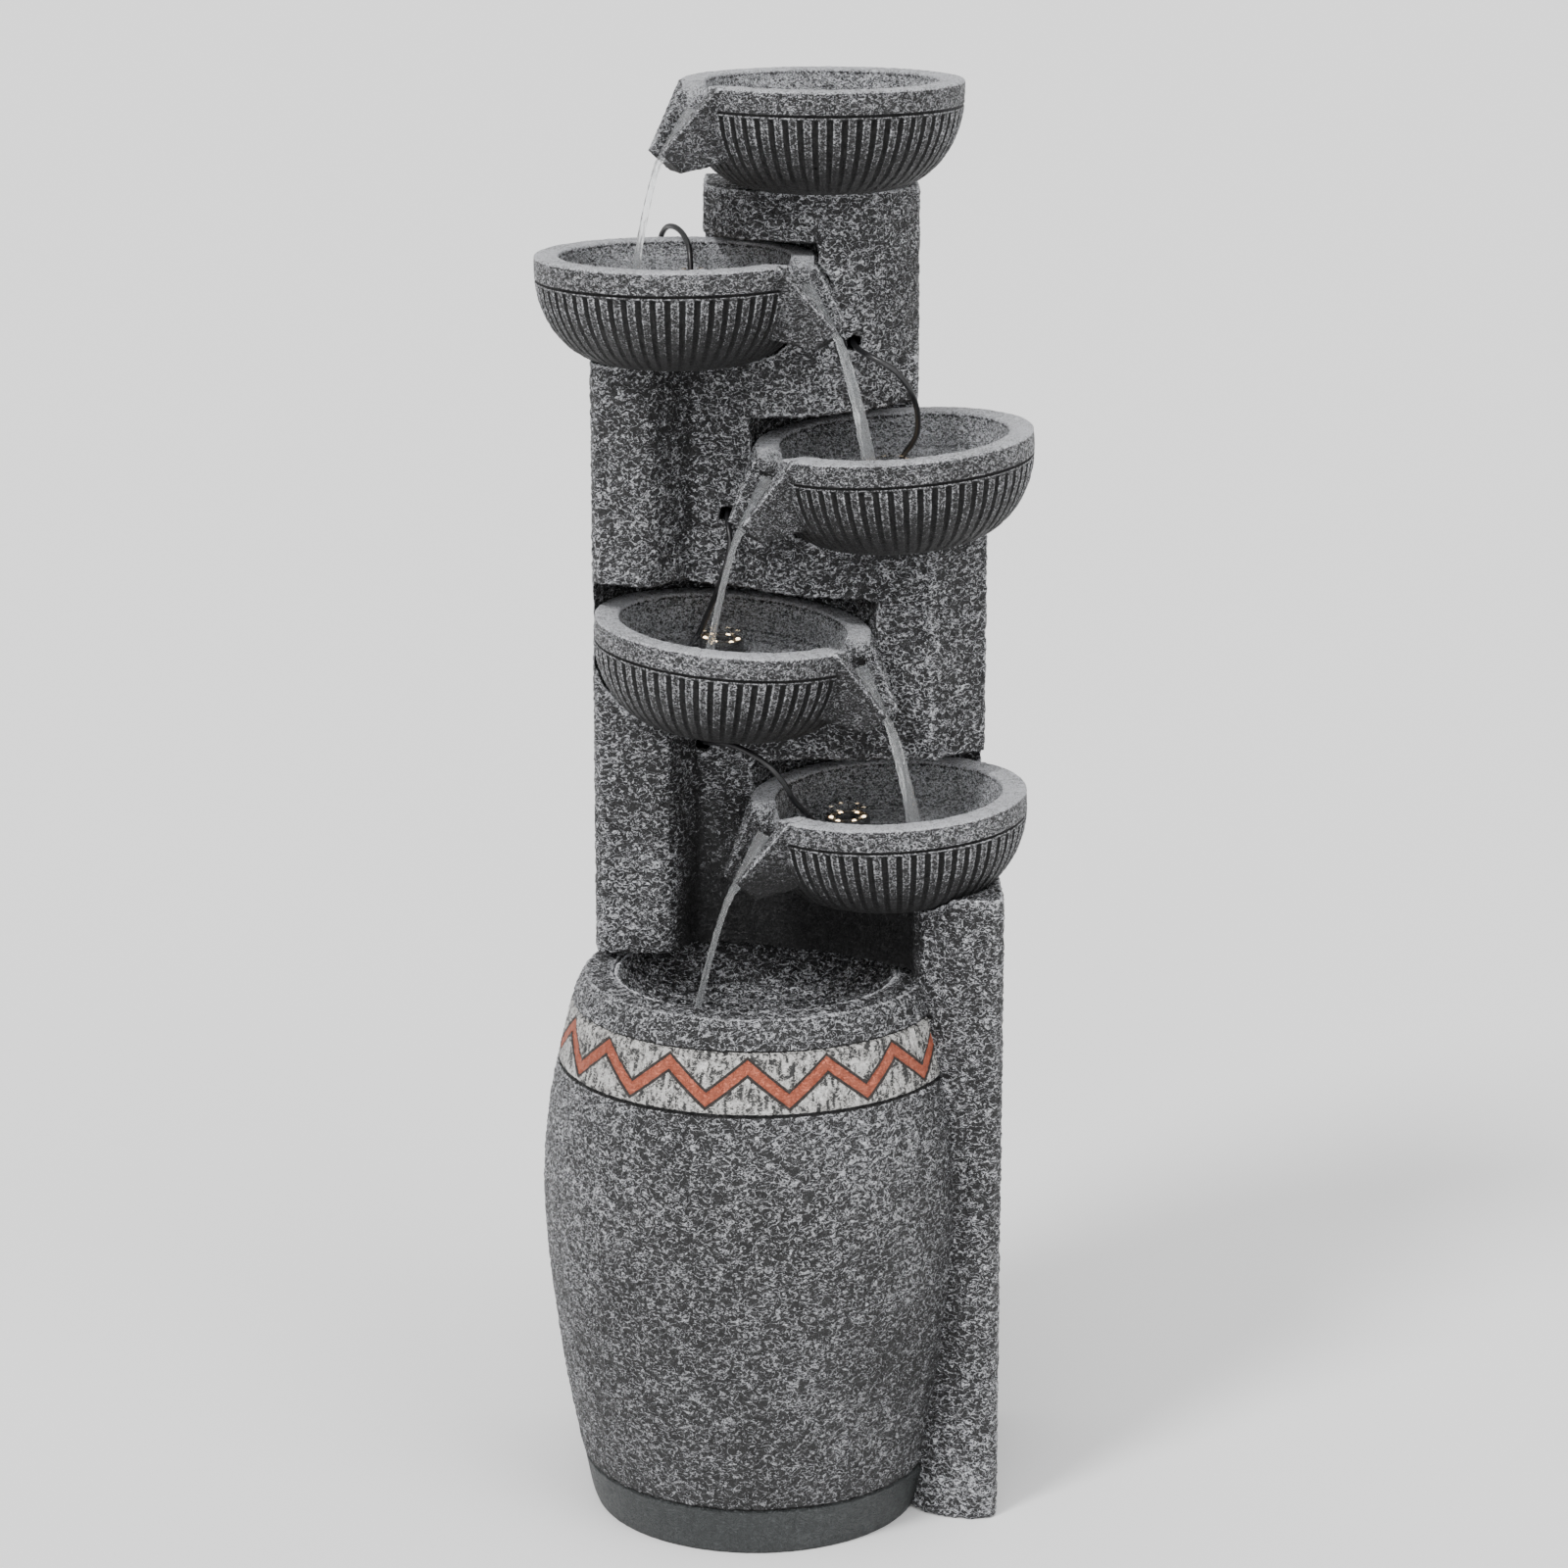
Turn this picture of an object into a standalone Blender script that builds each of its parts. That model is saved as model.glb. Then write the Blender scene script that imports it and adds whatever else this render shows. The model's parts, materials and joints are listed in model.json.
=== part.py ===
"""Floor-standing cascade fountain: five fluted bowls on a staggered tower over a jar basin.

Metres, +Z up. Every coordinate below is measured from the jar's own axis; the empty called
fountain then moves the whole assembly so that the frame's origin is at the bottom centre.
"""
import math

import bmesh
import bpy
from mathutils import Matrix, Vector

# ---- driving dimensions ----------------------------------------------------------------------
OFFSET = (-0.0208, 0.0035, 0.0)   # jar axis in the frame
BACK_Y = 0.1395                   # flat back of the tower
LEFT_X, RIGHT_X = -0.112, 0.170   # tower's outer sides
WALL = 0.008                      # casting wall
GAP = 0.0003                      # clearance between pieces that touch
WELD = 0.000005                   # points closer than this are one point

BOWL_R = 0.0955                   # outer radius at the rim
BOWL_INNER_R = 0.0790             # inner radius at the rim
BOWL_H = 0.073                    # rim to foot
BOWL_FLOOR = 0.030                # rim to inner floor
BOWL_SIDES = 28
SPOUT_YAW = math.radians(23)      # how far a spout points to the front of straight sideways
SPOUT_DROP = 0.044                # rim to the top of the spout's tip
SPOUT_TIP = 0.122                 # bowl centre to the spout's tip

# name: centre x, y, rim z, tilt towards the spout in degrees, side the spout points to, niche slot
BOWLS = {
    "bowl_1": (0.046, 0.044, 1.0000, 0.0, -1, 0.0095),
    "bowl_2": (-0.054, 0.038, 0.8830, 0.0, 1, 0.0095),
    "bowl_3": (0.095, 0.032, 0.7600, 4.2, -1, 0.0180),
    "bowl_4": (-0.015, 0.018, 0.6325, 4.8, 1, 0.0200),
    "bowl_5": (0.092, 0.008, 0.5145, 3.0, -1, 0.0180),
}
PILLAR_CRADLE = 0.006             # how far a pillar's top rises round the bowl it carries

JAR_RIM_Z = 0.390
JAR_RIM_R = 0.1197
JAR_MOUTH_R = 0.0995
JAR_PLINTH_Z = 0.035
JAR_CUT_Y = 0.060                 # the jar's flat back, inside the tower
JAR_CUT_X = 0.108                 # where the front pillar covers the jar's right side
JAR_SILL_Z = 0.140                # top of the reservoir's back wall
JAR_LEDGE_Z = 0.348               # ledge that carries the basin dish
OVERHANG_Z = 0.396                # underside of the tower over the jar's mouth

DOOR_X, DOOR_Z = (-0.084, 0.006), (0.110, 0.250)
DOOR_REBATE = 0.006
RISER_R = 0.0055
RISER_X, RISER_Y = 0.012, 0.1252
LEAD_R = 0.002
LED_R = 0.01575
LED_HOLE_R = 0.0072
LED_H = 0.009
LED_SIDES = 16
PUMP_X, PUMP_Y, PUMP_Z = 0.006, 0.014, 0.019
PUMP_SIZE = (0.048, 0.062, 0.050)
NOZZLE_X, NOZZLE_Y = 0.060, 0.055
GLAND_X, GLAND_Z = 0.060, 0.150
JUNCTION = ((0.030, 0.106, 0.255), (0.078, 0.126, 0.290))
HOLE_R = 0.0055                   # holes that the leads leave the tower by
# light number: the two ends of its lead's hole
LEAD_HOLES = {
    "3": ((0.067, 0.066, 0.8240), (0.067, 0.010, 0.8240)),
    "4": ((-0.019, 0.070, 0.7030), (-0.019, 0.020, 0.7030)),
    "5": ((-0.036, 0.056, 0.5410), (-0.036, 0.020, 0.5410)),
    "2": ((-0.066, 0.1290, 0.790), (-0.066, 0.1290, 0.830)),
}
# light number: where its ring lies, from the bowl's centre in the bowl's own plane
LIGHTS = {"2": (0.012, 0.020), "3": (-0.004, -0.012), "4": (-0.007, 0.036), "5": (-0.029, 0.016)}
# jar's outside: radius, height
JAR_PROFILE = [(0.115, 0.0), (0.1185, 0.010), (0.1235, JAR_PLINTH_Z), (0.1270, 0.050), (0.1363, 0.100),
               (0.1430, 0.150), (0.1473, 0.190), (0.1495, 0.235), (0.1485, 0.262), (0.1445, 0.297),
               (0.1385, 0.328), (0.1285, 0.369), (0.1215, 0.386), (JAR_RIM_R, JAR_RIM_Z)]

# ---- materials -------------------------------------------------------------------------------
COLOURS = {
    "resin": ((0.085, 0.09, 0.095), 0.75, 0.0),
    "jar_resin": ((0.10, 0.105, 0.11), 0.75, 0.0),
    "black_plastic": ((0.015, 0.015, 0.016), 0.4, 0.0),
    "rubber": ((0.02, 0.02, 0.02), 0.7, 0.0),
    "foam": ((0.03, 0.03, 0.035), 0.95, 0.0),
    "ceramic": ((0.85, 0.85, 0.83), 0.3, 0.0),
    "magnet": ((0.06, 0.06, 0.06), 0.5, 0.4),
    "steel": ((0.6, 0.6, 0.6), 0.3, 1.0),
    "vinyl": ((0.75, 0.78, 0.78), 0.25, 0.0),
    "lens": ((1.0, 0.86, 0.55), 0.15, 0.0),
}


def material(name):
    """The named material, made on first use."""
    found = bpy.data.materials.get(name)
    if found:
        return found
    colour, rough, metal = COLOURS[name]
    made = bpy.data.materials.new(name)
    made.use_nodes = True
    shader = made.node_tree.nodes["Principled BSDF"]
    shader.inputs["Base Color"].default_value = (*colour, 1.0)
    shader.inputs["Roughness"].default_value = rough
    shader.inputs["Metallic"].default_value = metal
    return made


# ---- mesh helpers ----------------------------------------------------------------------------
def add_object(name, bm, slot="resin", at=(0, 0, 0)):
    """A new object made of bm, whose mesh is shifted so that its origin is at the point given."""
    bmesh.ops.recalc_face_normals(bm, faces=bm.faces)
    bmesh.ops.translate(bm, verts=bm.verts, vec=-Vector(at))
    mesh = bpy.data.meshes.new(name)
    bm.to_mesh(mesh)
    bm.free()
    obj = bpy.data.objects.new(name, mesh)
    obj.location = at
    bpy.context.scene.collection.objects.link(obj)
    mesh.materials.append(material(slot))
    return obj


def box(lo, hi):
    """A closed box between two corners."""
    bm = bmesh.new()
    bmesh.ops.create_cube(bm, size=1.0)
    size = [b - a for a, b in zip(lo, hi)]
    centre = [(a + b) / 2 for a, b in zip(lo, hi)]
    bmesh.ops.scale(bm, vec=size, verts=bm.verts)
    bmesh.ops.translate(bm, vec=centre, verts=bm.verts)
    return bm


def prism(outline, bottom, top):
    """A closed prism over a plan outline."""
    bm = bmesh.new()
    low = [bm.verts.new((x, y, bottom)) for x, y in outline]
    high = [bm.verts.new((x, y, top)) for x, y in outline]
    bm.faces.new(low)
    bm.faces.new(high)
    for i in range(len(low)):
        j = (i + 1) % len(low)
        bm.faces.new((low[i], low[j], high[j], high[i]))
    return bm


def turned(profile, sides, axis="Z"):
    """A closed solid of revolution. A profile point at radius 0 closes on the axis."""
    bm = bmesh.new()
    rings = []
    for radius, height in profile:
        if radius == 0:
            rings.append([bm.verts.new((0, 0, height))])
            continue
        turn = [2 * math.pi * i / sides for i in range(sides)]
        rings.append([bm.verts.new((radius * math.cos(a), radius * math.sin(a), height))
                      for a in turn])
    for low, high in zip(rings, rings[1:] + rings[:1]):
        if len(low) == 1 and len(high) == 1:
            continue
        for i in range(sides):
            j = (i + 1) % sides
            if len(low) == 1:
                bm.faces.new((low[0], high[j], high[i]))
            elif len(high) == 1:
                bm.faces.new((low[i], low[j], high[0]))
            else:
                bm.faces.new((low[i], low[j], high[j], high[i]))
    if axis == "Y":
        upright = Matrix.Rotation(math.radians(90), 3, "X")
        bmesh.ops.rotate(bm, cent=(0, 0, 0), matrix=upright, verts=bm.verts)
    return bm


def rod(radius, start, end, sides=20, inner=0.0):
    """An upright round bar, or a pipe if inner is given, between two heights."""
    if inner:
        return turned([(radius, start), (radius, end), (inner, end), (inner, start)], sides)
    return turned([(0, start), (radius, start), (radius, end), (0, end)], sides)


def shifted(bm, x, y, z):
    """The same mesh, moved."""
    bmesh.ops.translate(bm, vec=(x, y, z), verts=bm.verts)
    return bm


def merge(obj, others, operation):
    """Apply a Boolean operation to obj with each of the other meshes in turn, in world space."""
    for bm in others:
        cutter = add_object("cutter", bm)
        mod = obj.modifiers.new("cut", "BOOLEAN")
        mod.operation = operation
        mod.object = cutter
        mod.solver = "EXACT"
        graph = bpy.context.evaluated_depsgraph_get()
        old = obj.data
        obj.data = bpy.data.meshes.new_from_object(obj.evaluated_get(graph))
        obj.modifiers.clear()
        obj.data.name = obj.name
        bpy.data.meshes.remove(old)
        bpy.data.meshes.remove(cutter.data)
        weld(obj.data)
    return obj


def weld(mesh):
    """Join the points that a Boolean leaves less than the weld distance apart."""
    bm = bmesh.new()
    bm.from_mesh(mesh)
    bmesh.ops.remove_doubles(bm, verts=bm.verts, dist=WELD)
    bmesh.ops.dissolve_degenerate(bm, edges=bm.edges, dist=WELD)
    bm.to_mesh(mesh)
    bm.free()


def arc(start, middle, end, steps):
    """Plan points on the circle through three points, from start to end."""
    a, b, c = (Vector((*p, 0)) for p in (start, middle, end))
    d = 2 * (a.x * (b.y - c.y) + b.x * (c.y - a.y) + c.x * (a.y - b.y))
    aa, bb, cc = (p.length_squared for p in (a, b, c))
    ux = (aa * (b.y - c.y) + bb * (c.y - a.y) + cc * (a.y - b.y)) / d
    uy = (aa * (c.x - b.x) + bb * (a.x - c.x) + cc * (b.x - a.x)) / d
    radius = (a - Vector((ux, uy, 0))).length
    first = math.atan2(a.y - uy, a.x - ux)
    last = math.atan2(c.y - uy, c.x - ux)
    turn = math.copysign(2 * math.pi, (b - a).cross(c - b).z)
    while (last - first) * turn < 0:
        last += turn
    points = []
    for i in range(steps + 1):
        angle = first + (last - first) * i / steps
        points.append((ux + radius * math.cos(angle), uy + radius * math.sin(angle)))
    return points


def smooth_route(route, spacing):
    """Points a spacing apart on the Catmull-Rom curve through the route's own points."""
    pts = [Vector(p) for p in route]
    pts = [2 * pts[0] - pts[1]] + pts + [2 * pts[-1] - pts[-2]]
    dense = []
    for i in range(1, len(pts) - 2):
        p0, p1, p2, p3 = pts[i - 1:i + 3]
        for k in range(24):
            t = k / 24
            dense.append(0.5 * ((2 * p1) + (p2 - p0) * t + (2 * p0 - 5 * p1 + 4 * p2 - p3) * t * t
                                + (3 * p1 - p0 - 3 * p2 + p3) * t ** 3))
    dense.append(pts[-2])
    length = sum((b - a).length for a, b in zip(dense, dense[1:]))
    count = max(2, round(length / spacing))
    out, travelled, target = [dense[0]], 0.0, length / count
    for a, b in zip(dense, dense[1:]):
        step = (b - a).length
        while travelled + step >= target - 1e-9 and len(out) < count:
            out.append(a.lerp(b, (target - travelled) / step))
            target += length / count
        travelled += step
    return out + [dense[-1]]


def tube(name, route, radius, slot, spacing):
    """A round lead or hose along a smooth curve through the route's points."""
    curve = bpy.data.curves.new(name, "CURVE")
    curve.dimensions = "3D"
    curve.bevel_depth = radius
    curve.bevel_resolution = 2
    curve.render_resolution_u = 0
    curve.use_fill_caps = True
    points = smooth_route(route, spacing)
    spline = curve.splines.new("POLY")
    spline.points.add(len(points) - 1)
    for target, point in zip(spline.points, points):
        target.co = (*point, 1.0)
    curve.materials.append(material(slot))
    obj = bpy.data.objects.new(name, curve)
    bpy.context.scene.collection.objects.link(obj)
    return obj


# ---- bowls -----------------------------------------------------------------------------------
def bowl_outer(grow=0.0):
    """Outer profile of a bowl from the rim down to the foot, heights from the rim plane."""
    rim, belly = 0.012, BOWL_H - 0.012
    foot = 0.040
    points = [(BOWL_R, 0.0), (BOWL_R, -rim)]
    for i in range(1, 6):
        angle = math.radians(90) * i / 6
        radius = foot + (BOWL_R - foot) * math.cos(angle) ** 0.92
        points.append((radius, -rim - belly * math.sin(angle) ** 1.08))
    points.append((foot, -BOWL_H))
    return [(r * (1 + grow), z) for r, z in points]


def bowl_section():
    """Closed section of a bowl: outside, hollow foot, floor and inside."""
    hollow = [(0.034, -BOWL_H), (0.0345, -0.0665), (0.046, -0.0640), (0.061, -0.0550), (0.072, -0.0420),
              (0.069, -0.0370), (0, -0.0370)]
    inside = [(0, -BOWL_FLOOR), (0.067, -BOWL_FLOOR), (0.0745, -0.024), (0.0775, -0.010), (BOWL_INNER_R, 0.0)]
    return bowl_outer() + hollow + inside


def spout_solid(grow=0.0):
    """Wedge of a spout along +X, from inside the rim to the slanted tip."""
    stations = [(0.068, 0.0), (0.0905, 0.0), (SPOUT_TIP, -SPOUT_DROP), (0.107, -0.058), (0.070, -0.049)]
    widths = [0.033, 0.035, 0.0125, 0.0115, 0.026]
    return wedge(stations, widths, grow)


def spout_channel():
    """The open channel cut along a spout."""
    stations = [(0.060, 0.012), (0.104, 0.012), (0.1400, -0.0320), (0.1235, -0.0600), (0.084, -0.019),
                (0.060, -0.016)]
    widths = [0.0240, 0.0240, 0.0062, 0.0050, 0.0190, 0.0190]
    return wedge(stations, widths, 0.0)


def wedge(stations, widths, grow):
    """A solid between two mirrored side outlines whose half width changes along them."""
    bm = bmesh.new()
    centre = [sum(v) / len(stations) for v in zip(*stations)]
    sides = []
    for sign in (-1, 1):
        ring = []
        for (along, height), half in zip(stations, widths):
            out = Vector((along - centre[0], height - centre[1]))
            spread = out.normalized() * grow
            ring.append(bm.verts.new((along + spread.x, sign * (half + grow), height + spread.y)))
        sides.append(ring)
        bm.faces.new(ring)
    left, right = sides
    for i in range(len(left)):
        j = (i + 1) % len(left)
        bm.faces.new((left[i], left[j], right[j], right[i]))
    bmesh.ops.triangulate(bm, faces=bm.faces)
    return bm


def bowl_matrix(name):
    """Placement of a bowl: its rim centre, turned to its spout and tilted towards it."""
    x, y, z, tilt, side, _ = BOWLS[name]
    yaw = -SPOUT_YAW if side > 0 else math.pi + SPOUT_YAW
    turn = Matrix.Rotation(yaw, 4, "Z") @ Matrix.Rotation(math.radians(tilt), 4, "Y")
    return Matrix.Translation((x, y, z)) @ turn


def make_bowl(name):
    """One bowl casting with its spout."""
    obj = add_object(name, turned(bowl_section(), BOWL_SIDES))
    merge(obj, [spout_solid()], "UNION")
    inside = [(0, -BOWL_FLOOR), (0.067, -BOWL_FLOOR), (0.0745, -0.024), (0.0775, -0.010), (BOWL_INNER_R, 0.0),
              (BOWL_INNER_R, 0.003), (0, 0.003)]
    merge(obj, [turned(inside, BOWL_SIDES), spout_channel()], "DIFFERENCE")
    obj.data.transform(bowl_matrix(name))
    return obj


def niche(name):
    """Room that a bowl and its spout need in the tower."""
    slot = BOWLS[name][5]
    profile = bowl_outer(grow=0.03)
    profile = [(profile[0][0], slot)] + profile[1:-1]
    profile += [(0.0415, -BOWL_H - GAP), (0, -BOWL_H - GAP), (0, slot)]
    room = turned(profile, BOWL_SIDES)
    throat = spout_solid(grow=0.002)
    for bm in (room, throat):
        bmesh.ops.transform(bm, matrix=bowl_matrix(name), verts=bm.verts)
    return [room, throat]


# ---- tower -----------------------------------------------------------------------------------
def pillar(front, bottom, top):
    """A pillar from its front outline, left to right, back to the tower's flat back."""
    right, left = front[-1][0], front[0][0]
    return prism(front + [(right, BACK_Y), (left, BACK_Y)], bottom, top)


def bowl_seat(name):
    """Height of the top of the pillar that carries a bowl."""
    return BOWLS[name][2] - BOWL_H + PILLAR_CRADLE


def tower_pillars():
    """The staggered pillars, each with its convex front."""
    top_front = arc((-0.035, 0.068), (0.039, 0.018), (0.113, 0.066), 12)
    left_upper = [(LEFT_X, 0.022), (-0.108, 0.014), (-0.090, 0.011), (-0.074, 0.012), (-0.067, 0.017),
                  (-0.042, 0.052)]
    left_lower = [(LEFT_X, 0.022), (-0.108, 0.014), (-0.090, 0.012), (-0.068, 0.011), (-0.060, 0.014),
                  (-0.042, 0.040)]
    core = arc((-0.045, 0.046), (0.036, 0.036), (0.1120, 0.050), 8)
    right = [(-0.046, 0.042)] + arc((-0.030, 0.038), (0.060, 0.026), (0.122, 0.012), 6) + [(0.160, 0.036)]
    under_last = [(-0.048, 0.041), (-0.030, 0.0383)] + arc((-0.004, 0.034), (0.058, 0.008), (0.109, -0.030), 6)
    front_pillar = [(0.1083, -0.036)] + arc((0.114, -0.044), (0.148, -0.061), (0.165, -0.060), 5) + [
        (RIGHT_X, -0.053)]
    behind_jar = [(LEFT_X, JAR_CUT_Y + GAP), (RIGHT_X, JAR_CUT_Y + GAP)]
    return [
        pillar(top_front, 0.600, BOWLS["bowl_1"][2] - BOWL_H - GAP),
        pillar(left_upper, 0.560, bowl_seat("bowl_2")),
        pillar(left_lower, OVERHANG_Z, bowl_seat("bowl_4")),
        pillar(core, 0.470, 0.812),
        pillar(right, 0.455, bowl_seat("bowl_3")),
        pillar(under_last, OVERHANG_Z, bowl_seat("bowl_5") + 0.014),
        pillar(front_pillar, 0.0, bowl_seat("bowl_5") + 0.008),
        pillar(behind_jar, 0.0, 0.420),
    ]


def tower_rooms():
    """Hollow rooms and ducts inside the tower, all joined into one."""
    back = BACK_Y - WALL
    duct = 0.1195
    behind_mouth = JAR_CUT_Y + GAP + WALL
    return [
        box((LEFT_X + WALL, 0.050, -0.010), (0.1003, back, 0.340)),
        box((LEFT_X + WALL, behind_mouth, 0.330), (0.1003, back, 0.384)),
        box((LEFT_X + WALL, behind_mouth, 0.375), (-0.014, back, 0.410)),
        box((JAR_CUT_X + GAP + WALL, -0.030, -0.010), (RIGHT_X - WALL, back, 0.425)),
        box((0.090, behind_mouth, -0.010), (0.120, back, 0.384)),
        box((LEFT_X + WALL, 0.048, OVERHANG_Z + WALL), (-0.014, back, 0.548)),
        box((LEFT_X + WALL, duct, 0.375), (0.150, back, 0.672)),
        box((0.092, 0.048, 0.552), (0.150, back, 0.668)),
        box((LEFT_X + WALL, 0.062, 0.668), (-0.014, back, 0.800)),
        box((LEFT_X + WALL, duct, 0.660), (0.040, back, 0.800)),
        box((0.005, duct, 0.792), (0.105, back, 0.914)),
        box((0.020, 0.108, 0.792), (0.105, back, 0.914)),
        box((0.036, 0.090, 0.792), (0.105, back, 0.914)),
        box((0.051, 0.044, 0.792), (0.080, back, 0.914)),
        box((0.070, 0.066, 0.792), (0.100, back, 0.914)),
    ]


def bar_between(start, end, radius):
    """A round bar between two points."""
    a, b = Vector(start), Vector(end)
    bm = rod(radius, 0.0, (b - a).length, sides=12)
    turn = (b - a).to_track_quat("Z", "Y").to_matrix().to_4x4()
    bmesh.ops.transform(bm, matrix=Matrix.Translation(a) @ turn, verts=bm.verts)
    return bm


def make_tower():
    """The tower casting: pillars, niches for the bowls, rooms, door opening and holes."""
    pillars = tower_pillars()
    obj = add_object("tower_shell", pillars[0])
    merge(obj, pillars[1:], "UNION")
    for name in list(BOWLS)[1:]:
        merge(obj, niche(name), "DIFFERENCE")
    merge(obj, tower_rooms(), "DIFFERENCE")
    low_x, high_x = DOOR_X
    low_z, high_z = DOOR_Z
    step = DOOR_REBATE
    cuts = [
        box((low_x, 0.120, low_z), (high_x, 0.150, high_z)),
        box((low_x - step, BACK_Y - 0.0045, low_z - step), (high_x + step, 0.150, high_z + step)),
        shifted(rod(0.0083, 0.900, 0.940), NOZZLE_X, NOZZLE_Y, 0.0),
        bar_between((GLAND_X, 0.120, GLAND_Z), (GLAND_X, 0.150, GLAND_Z), 0.0083),
    ]
    cuts += [bar_between(a, b, HOLE_R) for a, b in LEAD_HOLES.values()]
    return merge(obj, cuts, "DIFFERENCE")


# ---- jar -------------------------------------------------------------------------------------
def make_jar():
    """The jar casting: barrel, reservoir floor and sill, mouth with a ledge for the dish."""
    ledge_r = 0.094
    inside = [(0.0, 0.010), (0.108, 0.010)]
    inside += [(r - WALL, z) for r, z in JAR_PROFILE if 0.020 < z < 0.31] + [(ledge_r, 0.334), (0.0, 0.334)]
    obj = add_object("jar_shell", turned([(0, 0)] + JAR_PROFILE + [(0, JAR_RIM_Z)], 48), "jar_resin")
    room = add_object("room", turned(inside, 40))
    merge(room, [box((-0.2, -0.2, 0.0), (0.100, JAR_CUT_Y - WALL, 0.38))], "INTERSECT")
    room_mesh = bmesh.new()
    room_mesh.from_mesh(room.data)
    bpy.data.meshes.remove(room.data)
    mouth = turned([(0, 0.328), (ledge_r - 0.0008, 0.328), (ledge_r - 0.0008, JAR_LEDGE_Z),
                    (JAR_MOUTH_R, JAR_LEDGE_Z), (JAR_MOUTH_R, 0.40), (0, 0.40)], 40)
    front_pillar = [(JAR_CUT_X, 0.2), (JAR_CUT_X, -0.0365)] + arc(
        (0.1138, -0.0444), (0.148, -0.0613), (0.1653, -0.0603), 5) + [(0.171, -0.0530), (0.171, 0.2)]
    cuts = [
        box((LEFT_X - GAP, JAR_CUT_Y, -0.01), (0.2, 0.2, 0.5)),
        prism(front_pillar, -0.01, 0.5),
        room_mesh,
        mouth,
        box((-0.095, 0.040, JAR_SILL_Z), (0.092, 0.080, 0.325)),
    ]
    return merge(obj, cuts, "DIFFERENCE")


def make_dish():
    """The shallow dish in the jar's mouth, with its drain holes."""
    outer_r = JAR_MOUTH_R - GAP
    low = JAR_LEDGE_Z + GAP
    section = [(0, low), (outer_r, low), (outer_r, 0.3885), (0.0965, 0.3885), (0.0925, 0.378), (0.084, 0.367),
               (0.068, 0.360), (0.040, 0.3555), (0, 0.3540)]
    obj = add_object("basin_dish", turned(section, 40))
    cuts = [
        box((-0.2, JAR_CUT_Y - 0.0003, 0.3), (0.2, 0.2, 0.5)),
        shifted(rod(0.0055, 0.33, 0.40, sides=14), 0.066, -0.004, 0.0),
        shifted(rod(0.0040, 0.33, 0.40, sides=12), 0.037, 0.040, 0.0),
        shifted(rod(0.0040, 0.33, 0.40, sides=12), 0.049, 0.036, 0.0),
    ]
    return merge(obj, cuts, "DIFFERENCE")


# ---- rear door -------------------------------------------------------------------------------
def make_door():
    """Lift-off door with a plug that fits the opening, and its pull."""
    low_x, high_x = DOOR_X
    low_z, high_z = DOOR_Z
    grip = DOOR_REBATE - 0.0006
    centre = ((low_x + high_x) / 2, BACK_Y - 0.002, (low_z + high_z) / 2)
    panel = box((low_x - grip, BACK_Y - 0.0040, low_z - grip), (high_x + grip, BACK_Y, high_z + grip))
    obj = add_object("rear_door", panel, at=centre)
    plug = box((low_x + 0.0006, BACK_Y - 0.0070, low_z + 0.0006),
               (high_x - 0.0006, BACK_Y - 0.0030, high_z - 0.0006))
    hole = bar_between((centre[0], 0.12, high_z - 0.022), (centre[0], 0.15, high_z - 0.022), 0.0030)
    merge(obj, [plug], "UNION")
    merge(obj, [hole], "DIFFERENCE")
    seal = box((low_x + 0.002, BACK_Y - 0.0088, low_z + 0.002),
               (high_x - 0.002, BACK_Y - 0.0073, high_z - 0.002))
    ring = add_object("door_seal", seal, "foam")
    window = box((low_x + 0.010, 0.12, low_z + 0.010), (high_x - 0.010, 0.15, high_z - 0.010))
    merge(ring, [window], "DIFFERENCE")
    return centre


def make_door_knob(centre):
    """The pull knob, whose stem sits in the door's hole."""
    z = DOOR_Z[1] - 0.022
    knob = turned([(0, -0.010), (0.0024, -0.010), (0.0024, -0.0004), (0.0045, -0.0004), (0.0045, 0.0010),
                    (0.0030, 0.0022), (0, 0.0022)], 16, axis="Y")
    bmesh.ops.rotate(knob, cent=(0, 0, 0), matrix=Matrix.Rotation(math.pi, 3, "Z"), verts=knob.verts)
    add_object("door_knob", shifted(knob, centre[0], BACK_Y + 0.0008, z), "steel")


# ---- lights ----------------------------------------------------------------------------------
def plane_point(bowl, dx, dy, depth):
    """A point at a depth under a tilted bowl's rim plane, above the offset given."""
    m = bowl_matrix(bowl)
    local = m.to_3x3().inverted() @ Vector((dx, dy, 0))
    return m @ Vector((local.x, local.y, -depth))


def make_light(number):
    """A submersible ring light and its lens ring, lying on the bowl's floor."""
    bowl = f"bowl_{number}"
    base = plane_point(bowl, *LIGHTS[number], BOWL_FLOOR - GAP)
    turn = bowl_matrix(bowl).to_3x3().to_4x4()
    place = Matrix.Translation(base) @ turn
    body = turned([(LED_R, 0), (LED_R, LED_H - 0.0015), (LED_R - 0.0015, LED_H), (LED_HOLE_R + 0.0012, LED_H),
                   (LED_HOLE_R, LED_H - 0.0012), (LED_HOLE_R, 0)], LED_SIDES)
    obj = add_object(f"led_ring_{number}", body, "black_plastic")
    groove = turned([(0.0140, LED_H - 0.0020), (0.0140, LED_H + 0.001), (0.0090, LED_H + 0.001),
                     (0.0090, LED_H - 0.0020)], LED_SIDES)
    merge(obj, [groove], "DIFFERENCE")
    obj.data.transform(place)
    cover = turned([(0.0137, LED_H - 0.0017), (0.0137, LED_H + 0.0004), (0.0093, LED_H + 0.0004),
                    (0.0093, LED_H - 0.0017)], LED_SIDES)
    lens = add_object(f"led_lens_{number}", cover, "lens")
    lens.data.transform(place)


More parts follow.
